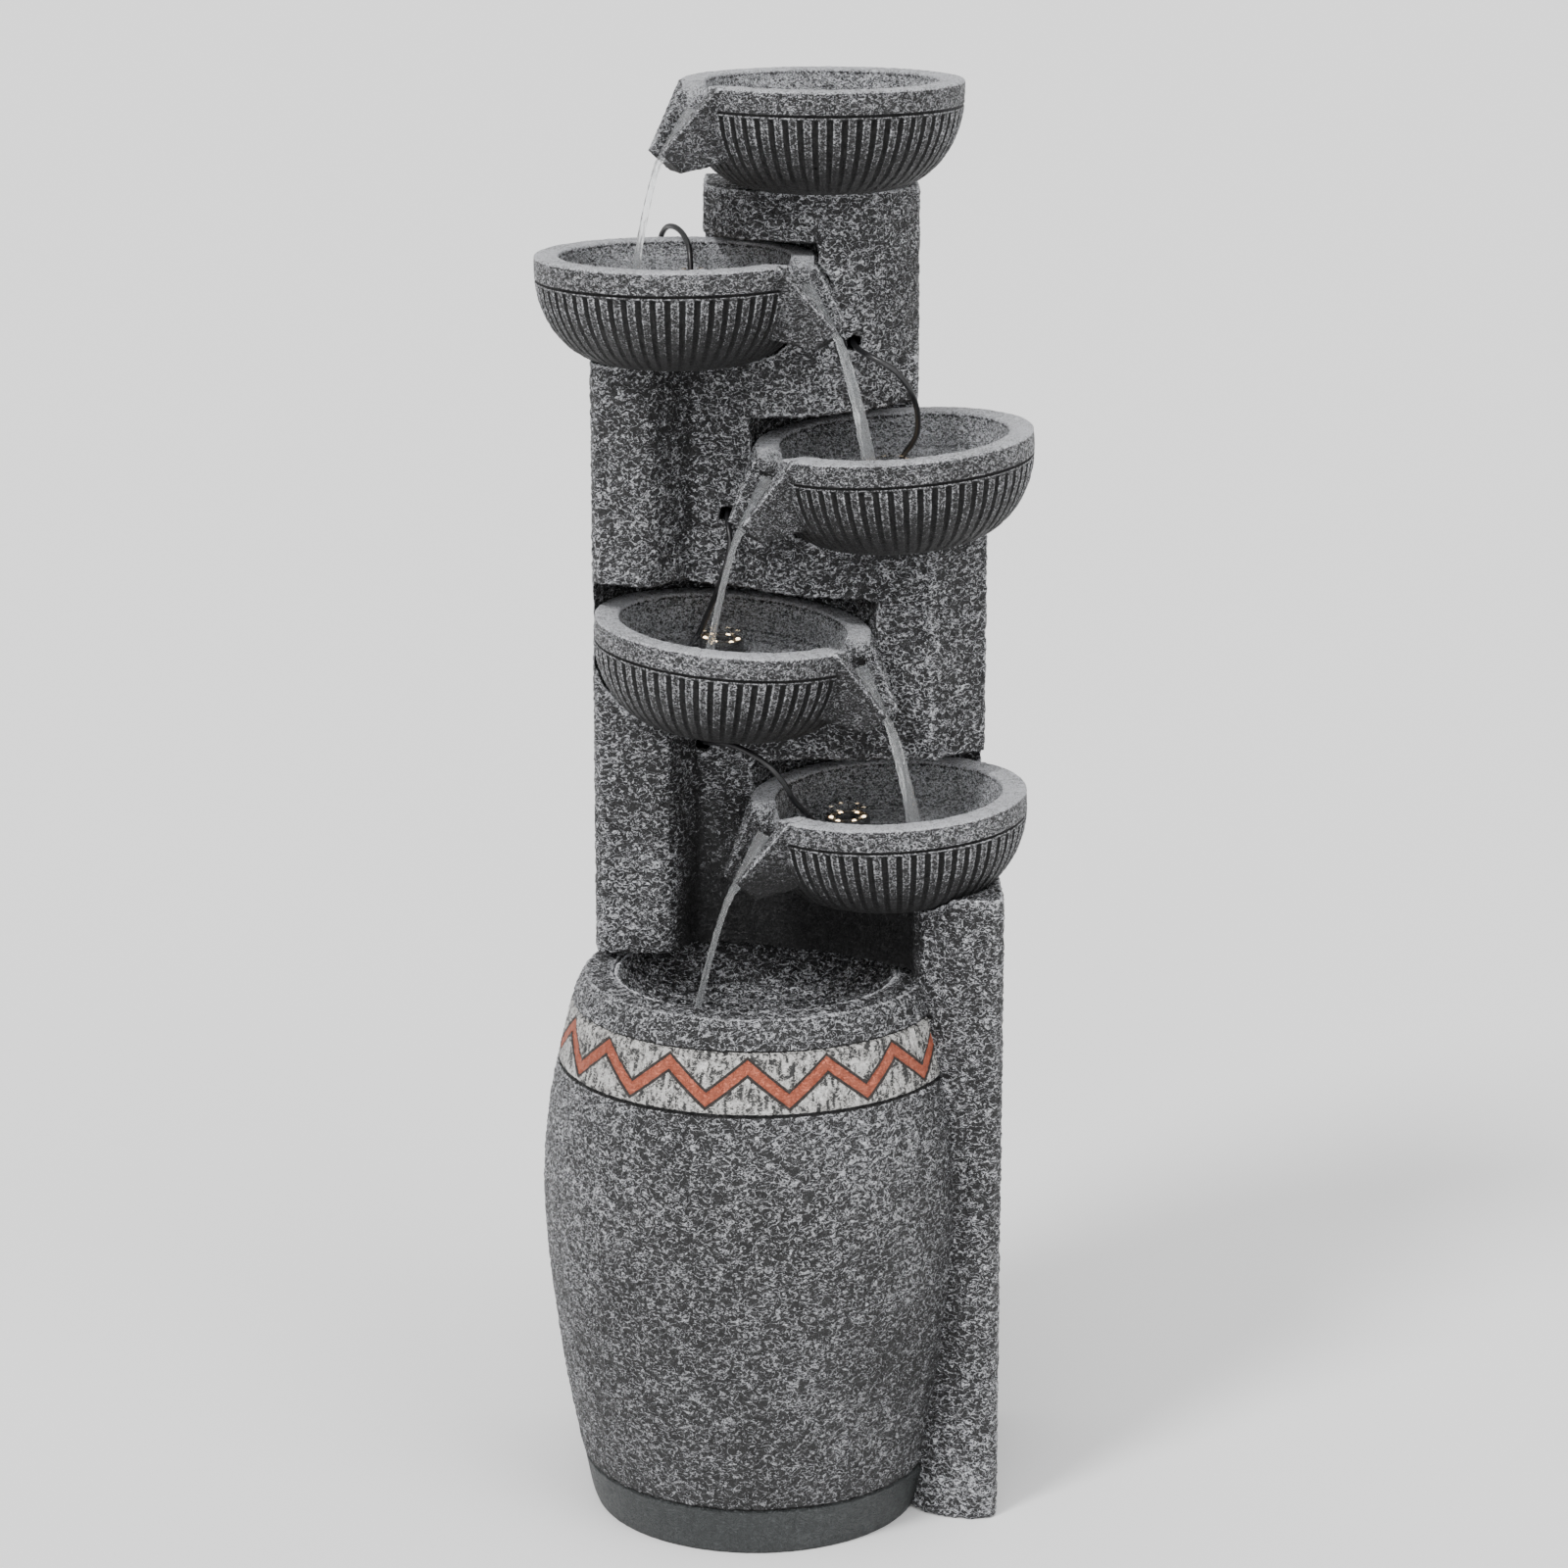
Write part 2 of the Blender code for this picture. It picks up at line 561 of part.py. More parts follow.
def lead_routes():
    """Route points of each light's lead, from the junction to the side of its ring."""
    routes = {
        "2": [(0.038, 0.116, 0.2904), (0.038, 0.116, 0.303), (0.020, 0.108, 0.320), (-0.012, 0.108, 0.346),
              (-0.034, 0.119, 0.386), (-0.044, 0.1250, 0.430), (-0.046, 0.1255, 0.540), (-0.052, 0.1255, 0.660),
              (-0.062, 0.1260, 0.750), (-0.066, 0.1290, 0.800), (-0.067, 0.1325, 0.834), (-0.067, 0.1368, 0.862),
              (-0.066, 0.1370, 0.8800), (-0.062, 0.1310, 0.8890), (-0.0565, 0.118, 0.8917),
              (-0.051, 0.108, 0.8895), (-0.047, 0.098, 0.8845), (-0.0445, 0.088, 0.8765)],
        "3": [(0.066, 0.116, 0.2904), (0.066, 0.116, 0.308), (0.058, 0.118, 0.350), (0.040, 0.1240, 0.400),
              (0.034, 0.1255, 0.500), (0.033, 0.1255, 0.640), (0.033, 0.1250, 0.740), (0.034, 0.1250, 0.785),
              (0.042, 0.1220, 0.808), (0.056, 0.107, 0.817), (0.065, 0.085, 0.822), (0.067, 0.055, 0.8240),
              (0.0673, 0.022, 0.8235), (0.074, 0.002, 0.8207), (0.082, -0.006, 0.8177), (0.095, -0.010, 0.8097),
              (0.105, -0.006, 0.7958), (0.1097, 0.004, 0.7808), (0.1104, 0.020, 0.7646), (0.107, 0.034, 0.7530),
              (0.101, 0.040, 0.7430)],
        "4": [(0.048, 0.116, 0.2904), (0.048, 0.116, 0.305), (0.040, 0.106, 0.326), (0.008, 0.099, 0.344),
              (-0.012, 0.107, 0.374), (-0.024, 0.1235, 0.418), (-0.026, 0.1255, 0.520), (-0.026, 0.1255, 0.650),
              (-0.026, 0.116, 0.690), (-0.021, 0.090, 0.702), (-0.019, 0.062, 0.7035), (-0.019, 0.040, 0.7020),
              (-0.0185, 0.029, 0.6975), (-0.017, 0.023, 0.6870), (-0.020, 0.022, 0.6720),
              (-0.0255, 0.028, 0.6540), (-0.0330, 0.041, 0.6330), (-0.0400, 0.049, 0.6160)],
        "5": [(0.057, 0.116, 0.2904), (0.057, 0.115, 0.306), (0.050, 0.100, 0.334), (0.020, 0.088, 0.345),
              (-0.012, 0.086, 0.364), (-0.030, 0.098, 0.402), (-0.036, 0.106, 0.470), (-0.036, 0.095, 0.525),
              (-0.036, 0.072, 0.5405), (-0.036, 0.048, 0.5425), (-0.034, 0.030, 0.5446), (-0.0175, 0.012, 0.547),
              (-0.004, 0.000, 0.5444), (0.0095, -0.006, 0.5362), (0.0196, -0.006, 0.5240),
              (0.0260, -0.004, 0.5120), (0.0350, 0.004, 0.5000)],
    }
    for number, points in routes.items():
        bowl = f"bowl_{number}"
        turn = bowl_matrix(bowl).to_3x3()
        centre = plane_point(bowl, *LIGHTS[number], BOWL_FLOOR - 0.0045)
        side = turn.inverted() @ (Vector(points[-1]) - centre)
        side.z = 0.0
        side = turn @ side.normalized()
        points.append(tuple(centre + side * (LED_R + 0.007)))
        points.append(tuple(centre + side * (LED_R + 0.0018)))
    return routes


def make_lights():
    """All ring lights, their leads and the junction inside the tower."""
    for number in LIGHTS:
        make_light(number)
    for number, route in lead_routes().items():
        tube(f"led_lead_{number}", route, LEAD_R, "black_plastic", 0.011)
    low, high = JUNCTION
    add_object("led_junction", box(low, high), "black_plastic")
    add_object("junction_bracket", box((low[0] - 0.004, high[1] + GAP, low[2] - 0.004),
                                       (high[0] + 0.004, BACK_Y - WALL - GAP, high[2] - 0.002)), "steel")


# ---- pump and riser --------------------------------------------------------------------------
def make_pump():
    """Submersible pump: housing, rotor on a ceramic shaft, covers, dial, filter and cups."""
    sx, sy, sz = PUMP_SIZE
    x0, y0, z0 = PUMP_X - sx / 2, PUMP_Y - sy / 2, PUMP_Z
    axis_z = z0 + 0.021
    housing = box((x0, y0 + 0.018, z0), (x0 + sx, y0 + sy, z0 + sz))
    obj = add_object("pump_housing", housing, "black_plastic")
    bore = bar_between((PUMP_X, y0 + 0.010, axis_z), (PUMP_X, y0 + 0.048, axis_z), 0.0120)
    volute = bar_between((PUMP_X, y0 + 0.010, axis_z), (PUMP_X, y0 + 0.029, axis_z), 0.0165)
    stub = shifted(rod(0.0078, z0 + sz - 0.004, z0 + sz + 0.010), PUMP_X, y0 + 0.026, 0)
    merge(obj, [stub], "UNION")
    port = shifted(rod(0.0050, axis_z + 0.005, z0 + sz + 0.020, sides=16), PUMP_X, y0 + 0.0262, 0)
    merge(obj, [bore, volute, port], "DIFFERENCE")

    shaft = bar_between((PUMP_X, y0 + 0.0205, axis_z), (PUMP_X, y0 + 0.0477, axis_z), 0.0012)
    add_object("pump_shaft", shaft, "ceramic")

    centre = (PUMP_X, y0 + 0.034, axis_z)
    magnet = rod(0.0105, y0 + 0.0295, y0 + 0.0465, sides=24, inner=0.0016)
    hub = rod(0.0060, y0 + 0.0212, y0 + 0.0296, sides=24, inner=0.0016)
    blades = []
    for i in range(6):
        blade = box((0.0050, -0.0010, y0 + 0.0215), (0.0150, 0.0010, y0 + 0.0280))
        turn = Matrix.Rotation(i * math.pi / 3, 3, "Z")
        bmesh.ops.rotate(blade, cent=(0, 0, 0), matrix=turn, verts=blade.verts)
        blades.append(blade)
    rotor = add_object("pump_rotor", magnet, "magnet")
    merge(rotor, [hub] + blades, "UNION")
    stand = Matrix.Translation((PUMP_X, 0, axis_z)) @ Matrix.Rotation(math.radians(-90), 4, "X")
    rotor.data.transform(stand)
    rotor.data.transform(Matrix.Translation(-Vector(centre)))
    rotor.location = centre

    cap_y = y0 + 0.0180 - GAP
    cap = box((x0 + 0.002, cap_y - 0.003, z0 + 0.001), (x0 + sx - 0.002, cap_y, z0 + 0.042))
    cap_obj = add_object("pump_volute_cover", cap, "black_plastic")
    merge(cap_obj, [bar_between((PUMP_X, cap_y - 0.01, axis_z), (PUMP_X, cap_y + 0.01, axis_z), 0.0062)],
          "DIFFERENCE")

    dial_y = cap_y - 0.003 - GAP
    dial = rod(0.0150, 0.0, 0.0025, sides=28)
    dial_obj = add_object("pump_flow_dial", dial, "black_plastic")
    window = rod(0.0050, -0.01, 0.01, sides=16)
    slot = shifted(rod(0.0040, -0.01, 0.01, sides=16), 0.0045, 0.0, 0.0)
    merge(dial_obj, [window, slot], "DIFFERENCE")
    tab = box((-0.002, 0.0135, 0.0), (0.002, 0.0190, 0.0025))
    merge(dial_obj, [tab], "UNION")
    dial_obj.data.transform(Matrix.Rotation(math.radians(90), 4, "X"))
    dial_obj.location = (PUMP_X, dial_y, axis_z)

    front = y0
    cover = box((x0 + 0.0005, front, z0 - 0.0005), (x0 + sx - 0.0005, dial_y - 0.0032, z0 + sz - 0.004))
    cover_obj = add_object("pump_intake_cover", cover, "black_plastic", at=(PUMP_X, front, axis_z))
    room = box((x0 + 0.0025, front + 0.002, z0 + 0.0015), (x0 + sx - 0.0025, dial_y + 0.01, z0 + sz - 0.006))
    slots = [box((x0 + 0.006, front - 0.01, z0 + 0.006 + 0.005 * i), (x0 + sx - 0.006, front + 0.004,
                 z0 + 0.0085 + 0.005 * i)) for i in range(7)]
    merge(cover_obj, [room] + slots, "DIFFERENCE")
    sponge = box((x0 + 0.003, front + 0.0023, z0 + 0.002), (x0 + sx - 0.003, front + 0.0080, z0 + sz - 0.0065))
    add_object("pump_filter_sponge", sponge, "foam")

    for i, (cx, cy) in enumerate([(-1, -1), (1, -1), (-1, 1), (1, 1)], start=1):
        cup = turned([(0, 0.0), (0.0022, 0.0), (0.0090, -0.0002), (0.0088, 0.0012), (0.0040, 0.0045),
                      (0.0040, PUMP_Z - 0.0103 - GAP), (0, PUMP_Z - 0.0103 - GAP)], 12)
        shifted(cup, PUMP_X + cx * 0.0145, PUMP_Y + 0.009 + cy * 0.0125, 0.0103 + 0.0002)
        add_object(f"suction_cup_{i}", cup, "rubber")
    return (PUMP_X, y0 + 0.026, z0 + sz + 0.010)


def make_riser(outlet):
    """Vinyl riser from the pump to the top bowl, its clamps, and the top bowl's inlet nozzle."""
    x, y, z = outlet
    route = [(x, y, z + GAP), (x, y, z + 0.012), (x, y, z + 0.026), (x + 0.002, y + 0.012, z + 0.080),
             (x + 0.004, y + 0.046, 0.208),
             (0.011, 0.098, 0.262), (RISER_X, 0.120, 0.320), (RISER_X, RISER_Y, 0.390), (RISER_X, RISER_Y, 0.560),
             (RISER_X, RISER_Y, 0.720), (RISER_X, RISER_Y, 0.790), (0.019, RISER_Y, 0.818), (0.038, 0.121, 0.841),
             (0.054, 0.100, 0.850), (NOZZLE_X, 0.075, 0.860), (NOZZLE_X, NOZZLE_Y + 0.005, 0.873),
             (NOZZLE_X, NOZZLE_Y, 0.886), (NOZZLE_X, NOZZLE_Y, 0.8938)]
    tube("riser_tube", route, RISER_R, "vinyl", 0.0135)
    clamps = (("hose_clamp_lower", z + 0.004, x, y), ("hose_clamp_upper", 0.8875, NOZZLE_X, NOZZLE_Y))
    for name, height, cx, cy in clamps:
        ring = rod(RISER_R + 0.0020, height, height + 0.005, sides=20, inner=RISER_R + 0.0006)
        add_object(name, shifted(ring, cx, cy, 0), "steel")
    floor = BOWLS["bowl_1"][2] - BOWL_FLOOR
    nozzle = turned([(0.0050, 0.8945), (0.0050, floor + 0.012), (0.0065, floor + 0.012), (0.0065, floor + 0.003),
                     (0.0125, floor + 0.003), (0.0125, floor + GAP), (0.0065, floor + GAP), (0.0065, 0.8945)], 20)
    add_object("top_nozzle", shifted(nozzle, NOZZLE_X, NOZZLE_Y, 0), "black_plastic")
    nut = shifted(rod(0.0130, floor - 0.0150, floor - 0.0073, sides=6), NOZZLE_X, NOZZLE_Y, 0)
    nut_obj = add_object("nozzle_nut", nut, "black_plastic")
    merge(nut_obj, [shifted(rod(0.0068, floor - 0.03, floor), NOZZLE_X, NOZZLE_Y, 0)], "DIFFERENCE")


def make_gland():
    """Rubber gland for the mains lead in the tower's back."""
    bore, body, lip = 0.0036, 0.0080, 0.0110
    inner, outer = BACK_Y - WALL, BACK_Y
    pieces = [(bore, inner - 0.0020), (lip, inner - 0.0020), (lip, inner - GAP), (body, inner - GAP),
              (body, outer + GAP), (lip, outer + GAP), (lip, outer + 0.0020), (bore, outer + 0.0020)]
    gland = turned(pieces, 16)
    level = Matrix.Rotation(math.radians(-90), 3, "X")
    bmesh.ops.rotate(gland, cent=(0, 0, 0), matrix=level, verts=gland.verts)
    add_object("cord_gland", shifted(gland, GLAND_X, 0, GLAND_Z), "rubber")


# ---- assembly --------------------------------------------------------------------------------
def shade(obj):
    """Smooth shading with sharp edges kept."""
    if obj.type == "MESH":
        obj.data.shade_smooth()
        obj.data.set_sharp_from_angle(angle=math.radians(35))


def main():
    """Build every piece and stand the assembly on the frame's origin."""
    for obj in list(bpy.data.objects):
        bpy.data.objects.remove(obj)
    make_tower()
    make_jar()
    make_dish()
    for name in BOWLS:
        make_bowl(name)
    floor = BOWLS["bowl_1"][2] - BOWL_FLOOR
    merge(bpy.data.objects["bowl_1"], [shifted(rod(0.0068, floor - 0.02, floor + 0.02), NOZZLE_X, NOZZLE_Y, 0)],
          "DIFFERENCE")
    centre = make_door()
    make_door_knob(centre)
    make_lights()
    outlet = make_pump()
    make_riser(outlet)
    make_gland()
    parent = bpy.data.objects.new("fountain", None)
    bpy.context.scene.collection.objects.link(parent)
    parent.location = OFFSET
    for obj in list(bpy.data.objects):
        if obj is not parent:
            obj.parent = parent
            shade(obj)


main()
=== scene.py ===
"""Looks of the cascade fountain: weathered castings, ring lights, leads and running water.

Metres, +Z up. Places are worked out from the same driving dimensions as the solids, measured from
the jar's own axis, which JAR_AXIS moves into the frame.
"""

import json
import math

import bmesh
import bpy
import numpy as np
from mathutils import Matrix, Vector


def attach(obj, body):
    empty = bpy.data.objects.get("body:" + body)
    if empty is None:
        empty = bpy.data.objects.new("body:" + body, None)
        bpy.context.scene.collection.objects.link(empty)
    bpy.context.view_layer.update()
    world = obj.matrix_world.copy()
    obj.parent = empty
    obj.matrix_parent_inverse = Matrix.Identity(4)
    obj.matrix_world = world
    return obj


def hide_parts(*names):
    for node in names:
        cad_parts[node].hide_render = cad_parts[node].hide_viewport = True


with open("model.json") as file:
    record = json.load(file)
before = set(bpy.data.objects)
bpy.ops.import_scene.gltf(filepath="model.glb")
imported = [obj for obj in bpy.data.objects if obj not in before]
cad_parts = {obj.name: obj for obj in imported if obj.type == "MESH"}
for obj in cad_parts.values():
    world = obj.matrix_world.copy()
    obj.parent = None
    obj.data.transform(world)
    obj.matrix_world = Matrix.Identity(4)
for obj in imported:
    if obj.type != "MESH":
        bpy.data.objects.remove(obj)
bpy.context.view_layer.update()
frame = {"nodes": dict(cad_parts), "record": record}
ROOT = "fountain_body"

# ---- driving dimensions ----------------------------------------------------------------------
JAR_AXIS = Vector((-0.0208, 0.0035, 0.0))
BOWL_R, BOWL_INNER_R = 0.0955, 0.0790
BOWL_H, BOWL_FLOOR, BOWL_FOOT_R = 0.073, 0.030, 0.040
BOWL_BAND = 0.0165                # rim to the line cut above the flutes
BOWL_FLUTES = 60
SPOUT_YAW = math.radians(23)
SPOUT_DROP, SPOUT_TIP = 0.044, 0.122
WATER_DEPTH = 0.0125              # rim to the pool's surface
# name: centre x, y, rim z, tilt towards the spout in degrees, side the spout points to
BOWLS = {
    "bowl_1": (0.046, 0.044, 1.0000, 0.0, -1),
    "bowl_2": (-0.054, 0.038, 0.8830, 0.0, 1),
    "bowl_3": (0.095, 0.032, 0.7600, 4.2, -1),
    "bowl_4": (-0.015, 0.018, 0.6325, 4.8, 1),
    "bowl_5": (0.092, 0.008, 0.5145, 3.0, -1),
}
# light number: where its ring lies, from the bowl's centre in the bowl's own plane
LIGHTS = {"2": (0.012, 0.020), "3": (-0.004, -0.012), "4": (-0.007, 0.036), "5": (-0.029, 0.016)}
LED_R, LED_HOLE_R, LED_H, LED_COUNT = 0.01575, 0.0072, 0.009, 6
LEAD_R = 0.002
# how far each bowl's stream travels sideways as it falls
STREAM_REACH = {"bowl_1": 0.020, "bowl_2": 0.025, "bowl_3": 0.023, "bowl_4": 0.021, "bowl_5": 0.032}

JAR_RIM_Z, JAR_RIM_R, JAR_MOUTH_R = 0.390, 0.1197, 0.0995
JAR_CUT_Y, JAR_CUT_X, JAR_ROOM_X = 0.060, 0.108, 0.100
JAR_WALL, JAR_SILL_Z, JAR_SILL_TOP = 0.008, 0.140, 0.325
TOWER_LEFT_X = -0.1123
JAR_GROOVES = (0.369, 0.328, 0.035)   # heights of the lines cut round the jar
JAR_PLINTH_Z = 0.035
# jar's outside: radius, height
JAR_PROFILE = [(0.115, 0.0), (0.1185, 0.010), (0.1235, 0.035), (0.1270, 0.050), (0.1363, 0.100),
               (0.1430, 0.150), (0.1473, 0.190), (0.1495, 0.235), (0.1485, 0.262), (0.1445, 0.297),
               (0.1385, 0.328), (0.1285, 0.369), (0.1215, 0.386)]
# front of the pillar beside the jar: x, y
PILLAR_FRONT = [(0.108, -0.0365), (0.114, -0.0444), (0.125, -0.0530), (0.137, -0.0590),
                (0.148, -0.0613), (0.165, -0.0603)]
ZIGZAG_TEETH = 15
ZIGZAG_PHASE = math.radians(-2.5)     # turn of one upper point from straight ahead
ZIGZAG_LOW, ZIGZAG_HIGH = 0.3375, 0.3600
ZIGZAG_HALF = 0.0028                  # half of the painted stroke's width

CAMERA_AT = JAR_AXIS + Vector((0.0, -2.8121, 1.2562))
CAMERA_TILT = (math.radians(75.37), 0.0, math.radians(-0.4))
CAMERA_LENS = 96.75


# ---- camera ----------------------------------------------------------------------------------
def make_camera():
    """The camera in front of the fountain, looking slightly down."""
    data = bpy.data.cameras.new("camera")
    data.lens = CAMERA_LENS
    data.sensor_width = 36.0
    data.clip_end = 100.0
    camera = bpy.data.objects.new("camera", data)
    camera.location = CAMERA_AT
    camera.rotation_euler = CAMERA_TILT
    bpy.context.scene.collection.objects.link(camera)
    bpy.context.scene.camera = camera


# ---- material helpers ------------------------------------------------------------------------
class Shader:
    """A node material with a Principled shader, built up one node at a time."""

    def __init__(self, name, **sockets):
        self.material = bpy.data.materials.new(name)
        self.material.use_nodes = True
        self.tree = self.material.node_tree
        self.main = self.tree.nodes["Principled BSDF"]
        for socket, value in sockets.items():
            self.main.inputs[socket.replace("_", " ")].default_value = value
        self.place = self.tree.nodes.new("ShaderNodeTexCoord").outputs["Object"]

    def join(self, value, socket):
        """Link a node's output to a socket, or set the socket to a number."""
        if isinstance(value, (int, float)):
            socket.default_value = value
        else:
            self.tree.links.new(value, socket)

    def noise(self, scale, detail=4.0, stretch=None):
        """Fractal noise from about 0.25 to 0.75."""
        node = self.tree.nodes.new("ShaderNodeTexNoise")
        node.inputs["Scale"].default_value = scale
        node.inputs["Detail"].default_value = detail
        place = self.place
        if stretch:
            mapping = self.tree.nodes.new("ShaderNodeMapping")
            mapping.inputs["Scale"].default_value = stretch
            self.tree.links.new(place, mapping.inputs["Vector"])
            place = mapping.outputs["Vector"]
        self.tree.links.new(place, node.inputs["Vector"])
        return node.outputs["Fac"]

    def ridges(self, scale, warp=0.6, width=0.062):
        """Thin winding crests, from 0 in the pits to 1."""
        node = self.tree.nodes.new("ShaderNodeTexNoise")
        node.inputs["Scale"].default_value = scale
        node.inputs["Detail"].default_value = 2.0
        node.inputs["Distortion"].default_value = warp
        flat = self.tree.nodes.new("ShaderNodeMapping")
        flat.inputs["Scale"].default_value = (1.0, 1.0, 1.5)
        self.tree.links.new(self.place, flat.inputs["Vector"])
        self.tree.links.new(flat.outputs["Vector"], node.inputs["Vector"])
        middle = self.math("ABSOLUTE", self.math("SUBTRACT", node.outputs["Fac"], 0.5))
        return self.span(middle, 0.0, width, 1.0, 0.0)

    def cells(self, scale, feature="DISTANCE_TO_EDGE"):
        """Cell pattern: distance to the nearest cell edge, or another of its features."""
        node = self.tree.nodes.new("ShaderNodeTexVoronoi")
        node.feature = feature
        node.inputs["Scale"].default_value = scale
        self.tree.links.new(self.place, node.inputs["Vector"])
        return node.outputs["Distance"]

    def attribute(self, name):
        """A number stored on the mesh's points."""
        node = self.tree.nodes.new("ShaderNodeAttribute")
        node.attribute_name = name
        return node.outputs["Fac"]

    def math(self, operation, a, b=0.0, clamp=False):
        """One arithmetic step."""
        node = self.tree.nodes.new("ShaderNodeMath")
        node.operation = operation
        node.use_clamp = clamp
        self.join(a, node.inputs[0])
        self.join(b, node.inputs[1])
        return node.outputs["Value"]

    def span(self, value, low, high, to_low=0.0, to_high=1.0):
        """A value from low to high brought to another range, and held inside it."""
        node = self.tree.nodes.new("ShaderNodeMapRange")
        self.join(value, node.inputs["Value"])
        for socket, number in zip(("From Min", "From Max", "To Min", "To Max"), (low, high, to_low, to_high)):
            node.inputs[socket].default_value = number
        return node.outputs["Result"]

    def ramp(self, value, stops):
        """Colours from a list of (position, grey or colour)."""
        node = self.tree.nodes.new("ShaderNodeValToRGB")
        while len(node.color_ramp.elements) < len(stops):
            node.color_ramp.elements.new(0.5)
        for element, (position, colour) in zip(node.color_ramp.elements, stops):
            element.position = position
            element.color = (*colour, 1.0)
        self.join(value, node.inputs["Fac"])
        return node.outputs["Color"]

    def mix(self, share, first, second):
        """Two colours mixed by a share."""
        node = self.tree.nodes.new("ShaderNodeMix")
        node.data_type = "RGBA"
        self.join(share, node.inputs[0])
        for value, socket in ((first, node.inputs[6]), (second, node.inputs[7])):
            if isinstance(value, tuple):
                socket.default_value = (*value, 1.0)
            else:
                self.tree.links.new(value, socket)
        return node.outputs[2]

    def bump(self, height, distance, strength=1.0):
        """Fine relief, by a height in shares of a distance."""
        node = self.tree.nodes.new("ShaderNodeBump")
        node.inputs["Distance"].default_value = distance
        node.inputs["Strength"].default_value = strength
        self.tree.links.new(height, node.inputs["Height"])
        self.tree.links.new(node.outputs["Normal"], self.main.inputs["Normal"])

    def colour(self, value):
        self.tree.links.new(value, self.main.inputs["Base Color"])

    def rough(self, value):
        self.tree.links.new(value, self.main.inputs["Roughness"])


# ---- materials -------------------------------------------------------------------------------
def resin(name, light=1.0, wrinkle=210.0, painted=False, wet=0.0):
    """Charcoal cast resin with a dry-brushed white on its crests and edges, painted shade in its creases,
    recesses and undersides, and painted light inside the bowls.
    """
    s = Shader(name)
    broad = s.ridges(wrinkle, 0.8)
    thin = s.ridges(wrinkle * 2.1, 1.0, 0.080)
    speck = s.noise(wrinkle * 5.0, 3.0)
    patches = s.noise(11.0, 3.0)
    relief = s.math("ADD", s.math("MULTIPLY", broad, 0.58), s.math("MULTIPLY", thin, 0.42))
    height = s.math("ADD", s.math("MULTIPLY", relief, 0.66), s.math("MULTIPLY", s.attribute("crest"), 0.12))
    # The edge attribute lightens convex edges as dry-brushing and darkens concave creases as painted shade.
    height = s.math("ADD", height, s.math("MULTIPLY", s.attribute("edge"), 0.42))
    height = s.math("ADD", height, s.span(speck, 0.3, 0.7, -0.09, 0.09))
    height = s.math("ADD", height, s.span(patches, 0.3, 0.7, -0.06, 0.06))
    # This attribute darkens undersides and the recess above the jar's mouth: painted shade, on top of the
    # dry-brushing.
    height = s.math("MULTIPLY", height, s.attribute("brush_and_painted_shade"))
    # Negative groove values inside the bowls lighten them: painted light.
    height = s.math("SUBTRACT", height, s.math("MULTIPLY", s.attribute("groove"), 0.75), clamp=True)
    greys = [(0.0, 0.004), (0.14, 0.010), (0.21, 0.030), (0.27, 0.085), (0.34, 0.23), (0.43, 0.55),
             (0.62, 0.85)]
    stops = [(at, (grey * light, grey * light * 1.01, grey * light * 1.06)) for at, grey in greys]
    colour = s.ramp(height, stops)
    if painted:
        colour = paint(s, colour, s.noise(300.0, 4.0, (1.0, 1.0, 0.28)), relief)
    s.colour(colour)
    s.rough(s.span(height, 0.0, 1.0, 0.40 - 0.22 * wet, 0.80 - 0.40 * wet))
    s.bump(s.math("ADD", relief, s.math("MULTIPLY", speck, 0.5)), 0.0024, 1.0)
    return s.material


def paint(s, colour, fine, relief):
    """The jar's pale band, its zigzag with dark outlines, and the smooth plinth."""
    pale = s.ramp(s.math("ADD", relief, s.span(fine, 0.3, 0.7, -0.50, 0.50)),
                  [(0.0, (0.03, 0.03, 0.03)), (0.14, (0.20, 0.20, 0.19)), (0.30, (0.70, 0.68, 0.66)),
                   (0.80, (0.93, 0.92, 0.90))])
    colour = s.mix(s.span(s.attribute("band"), 0.45, 0.55), colour, pale)
    clay = s.ramp(fine, [(0.3, (0.42, 0.095, 0.048)), (0.7, (0.62, 0.17, 0.095))])
    colour = s.mix(s.span(s.attribute("stroke"), 1.0, 1.08, 1.0, 0.0), colour, (0.035, 0.028, 0.025))
    colour = s.mix(s.span(s.attribute("stroke"), 0.62, 0.70, 1.0, 0.0), colour, clay)
    plinth = s.ramp(fine, [(0.3, (0.028, 0.032, 0.033)), (0.7, (0.048, 0.054, 0.055))])
    return s.mix(s.span(s.attribute("plinth"), 0.45, 0.55), colour, plinth)


def moulded_plastic(name, grey=0.014, rough=0.42):
    """Injection-moulded black plastic with a fine spark-eroded grain."""
    s = Shader(name, Specular_IOR_Level=0.45)
    grain = s.noise(1400.0, 3.0)
    tones = [(0.3, (grey * 0.8,) * 3), (0.7, (grey * 1.5, grey * 1.5, grey * 1.6))]
    s.colour(s.ramp(s.noise(60.0, 3.0), tones))
    s.rough(s.span(grain, 0.3, 0.7, rough - 0.08, rough + 0.12))
    s.bump(grain, 0.00012, 0.5)
    return s.material


def rubber():
    """Soft black rubber with a dusty bloom."""
    s = Shader("rubber_bloom")
    s.colour(s.ramp(s.noise(90.0, 5.0), [(0.3, (0.016, 0.016, 0.016)), (0.75, (0.045, 0.044, 0.042))]))
    s.rough(s.span(s.noise(500.0), 0.3, 0.7, 0.62, 0.88))
    s.bump(s.noise(900.0, 3.0), 0.0001, 0.5)
    return s.material


def foam():
    """Open-cell foam."""
    s = Shader("foam_cells", Roughness=0.95)
    cells = s.cells(650.0, "F1")
    s.colour(s.ramp(cells, [(0.05, (0.006, 0.006, 0.007)), (0.6, (0.060, 0.060, 0.066))]))
    s.bump(cells, 0.0008, 1.0)
    return s.material


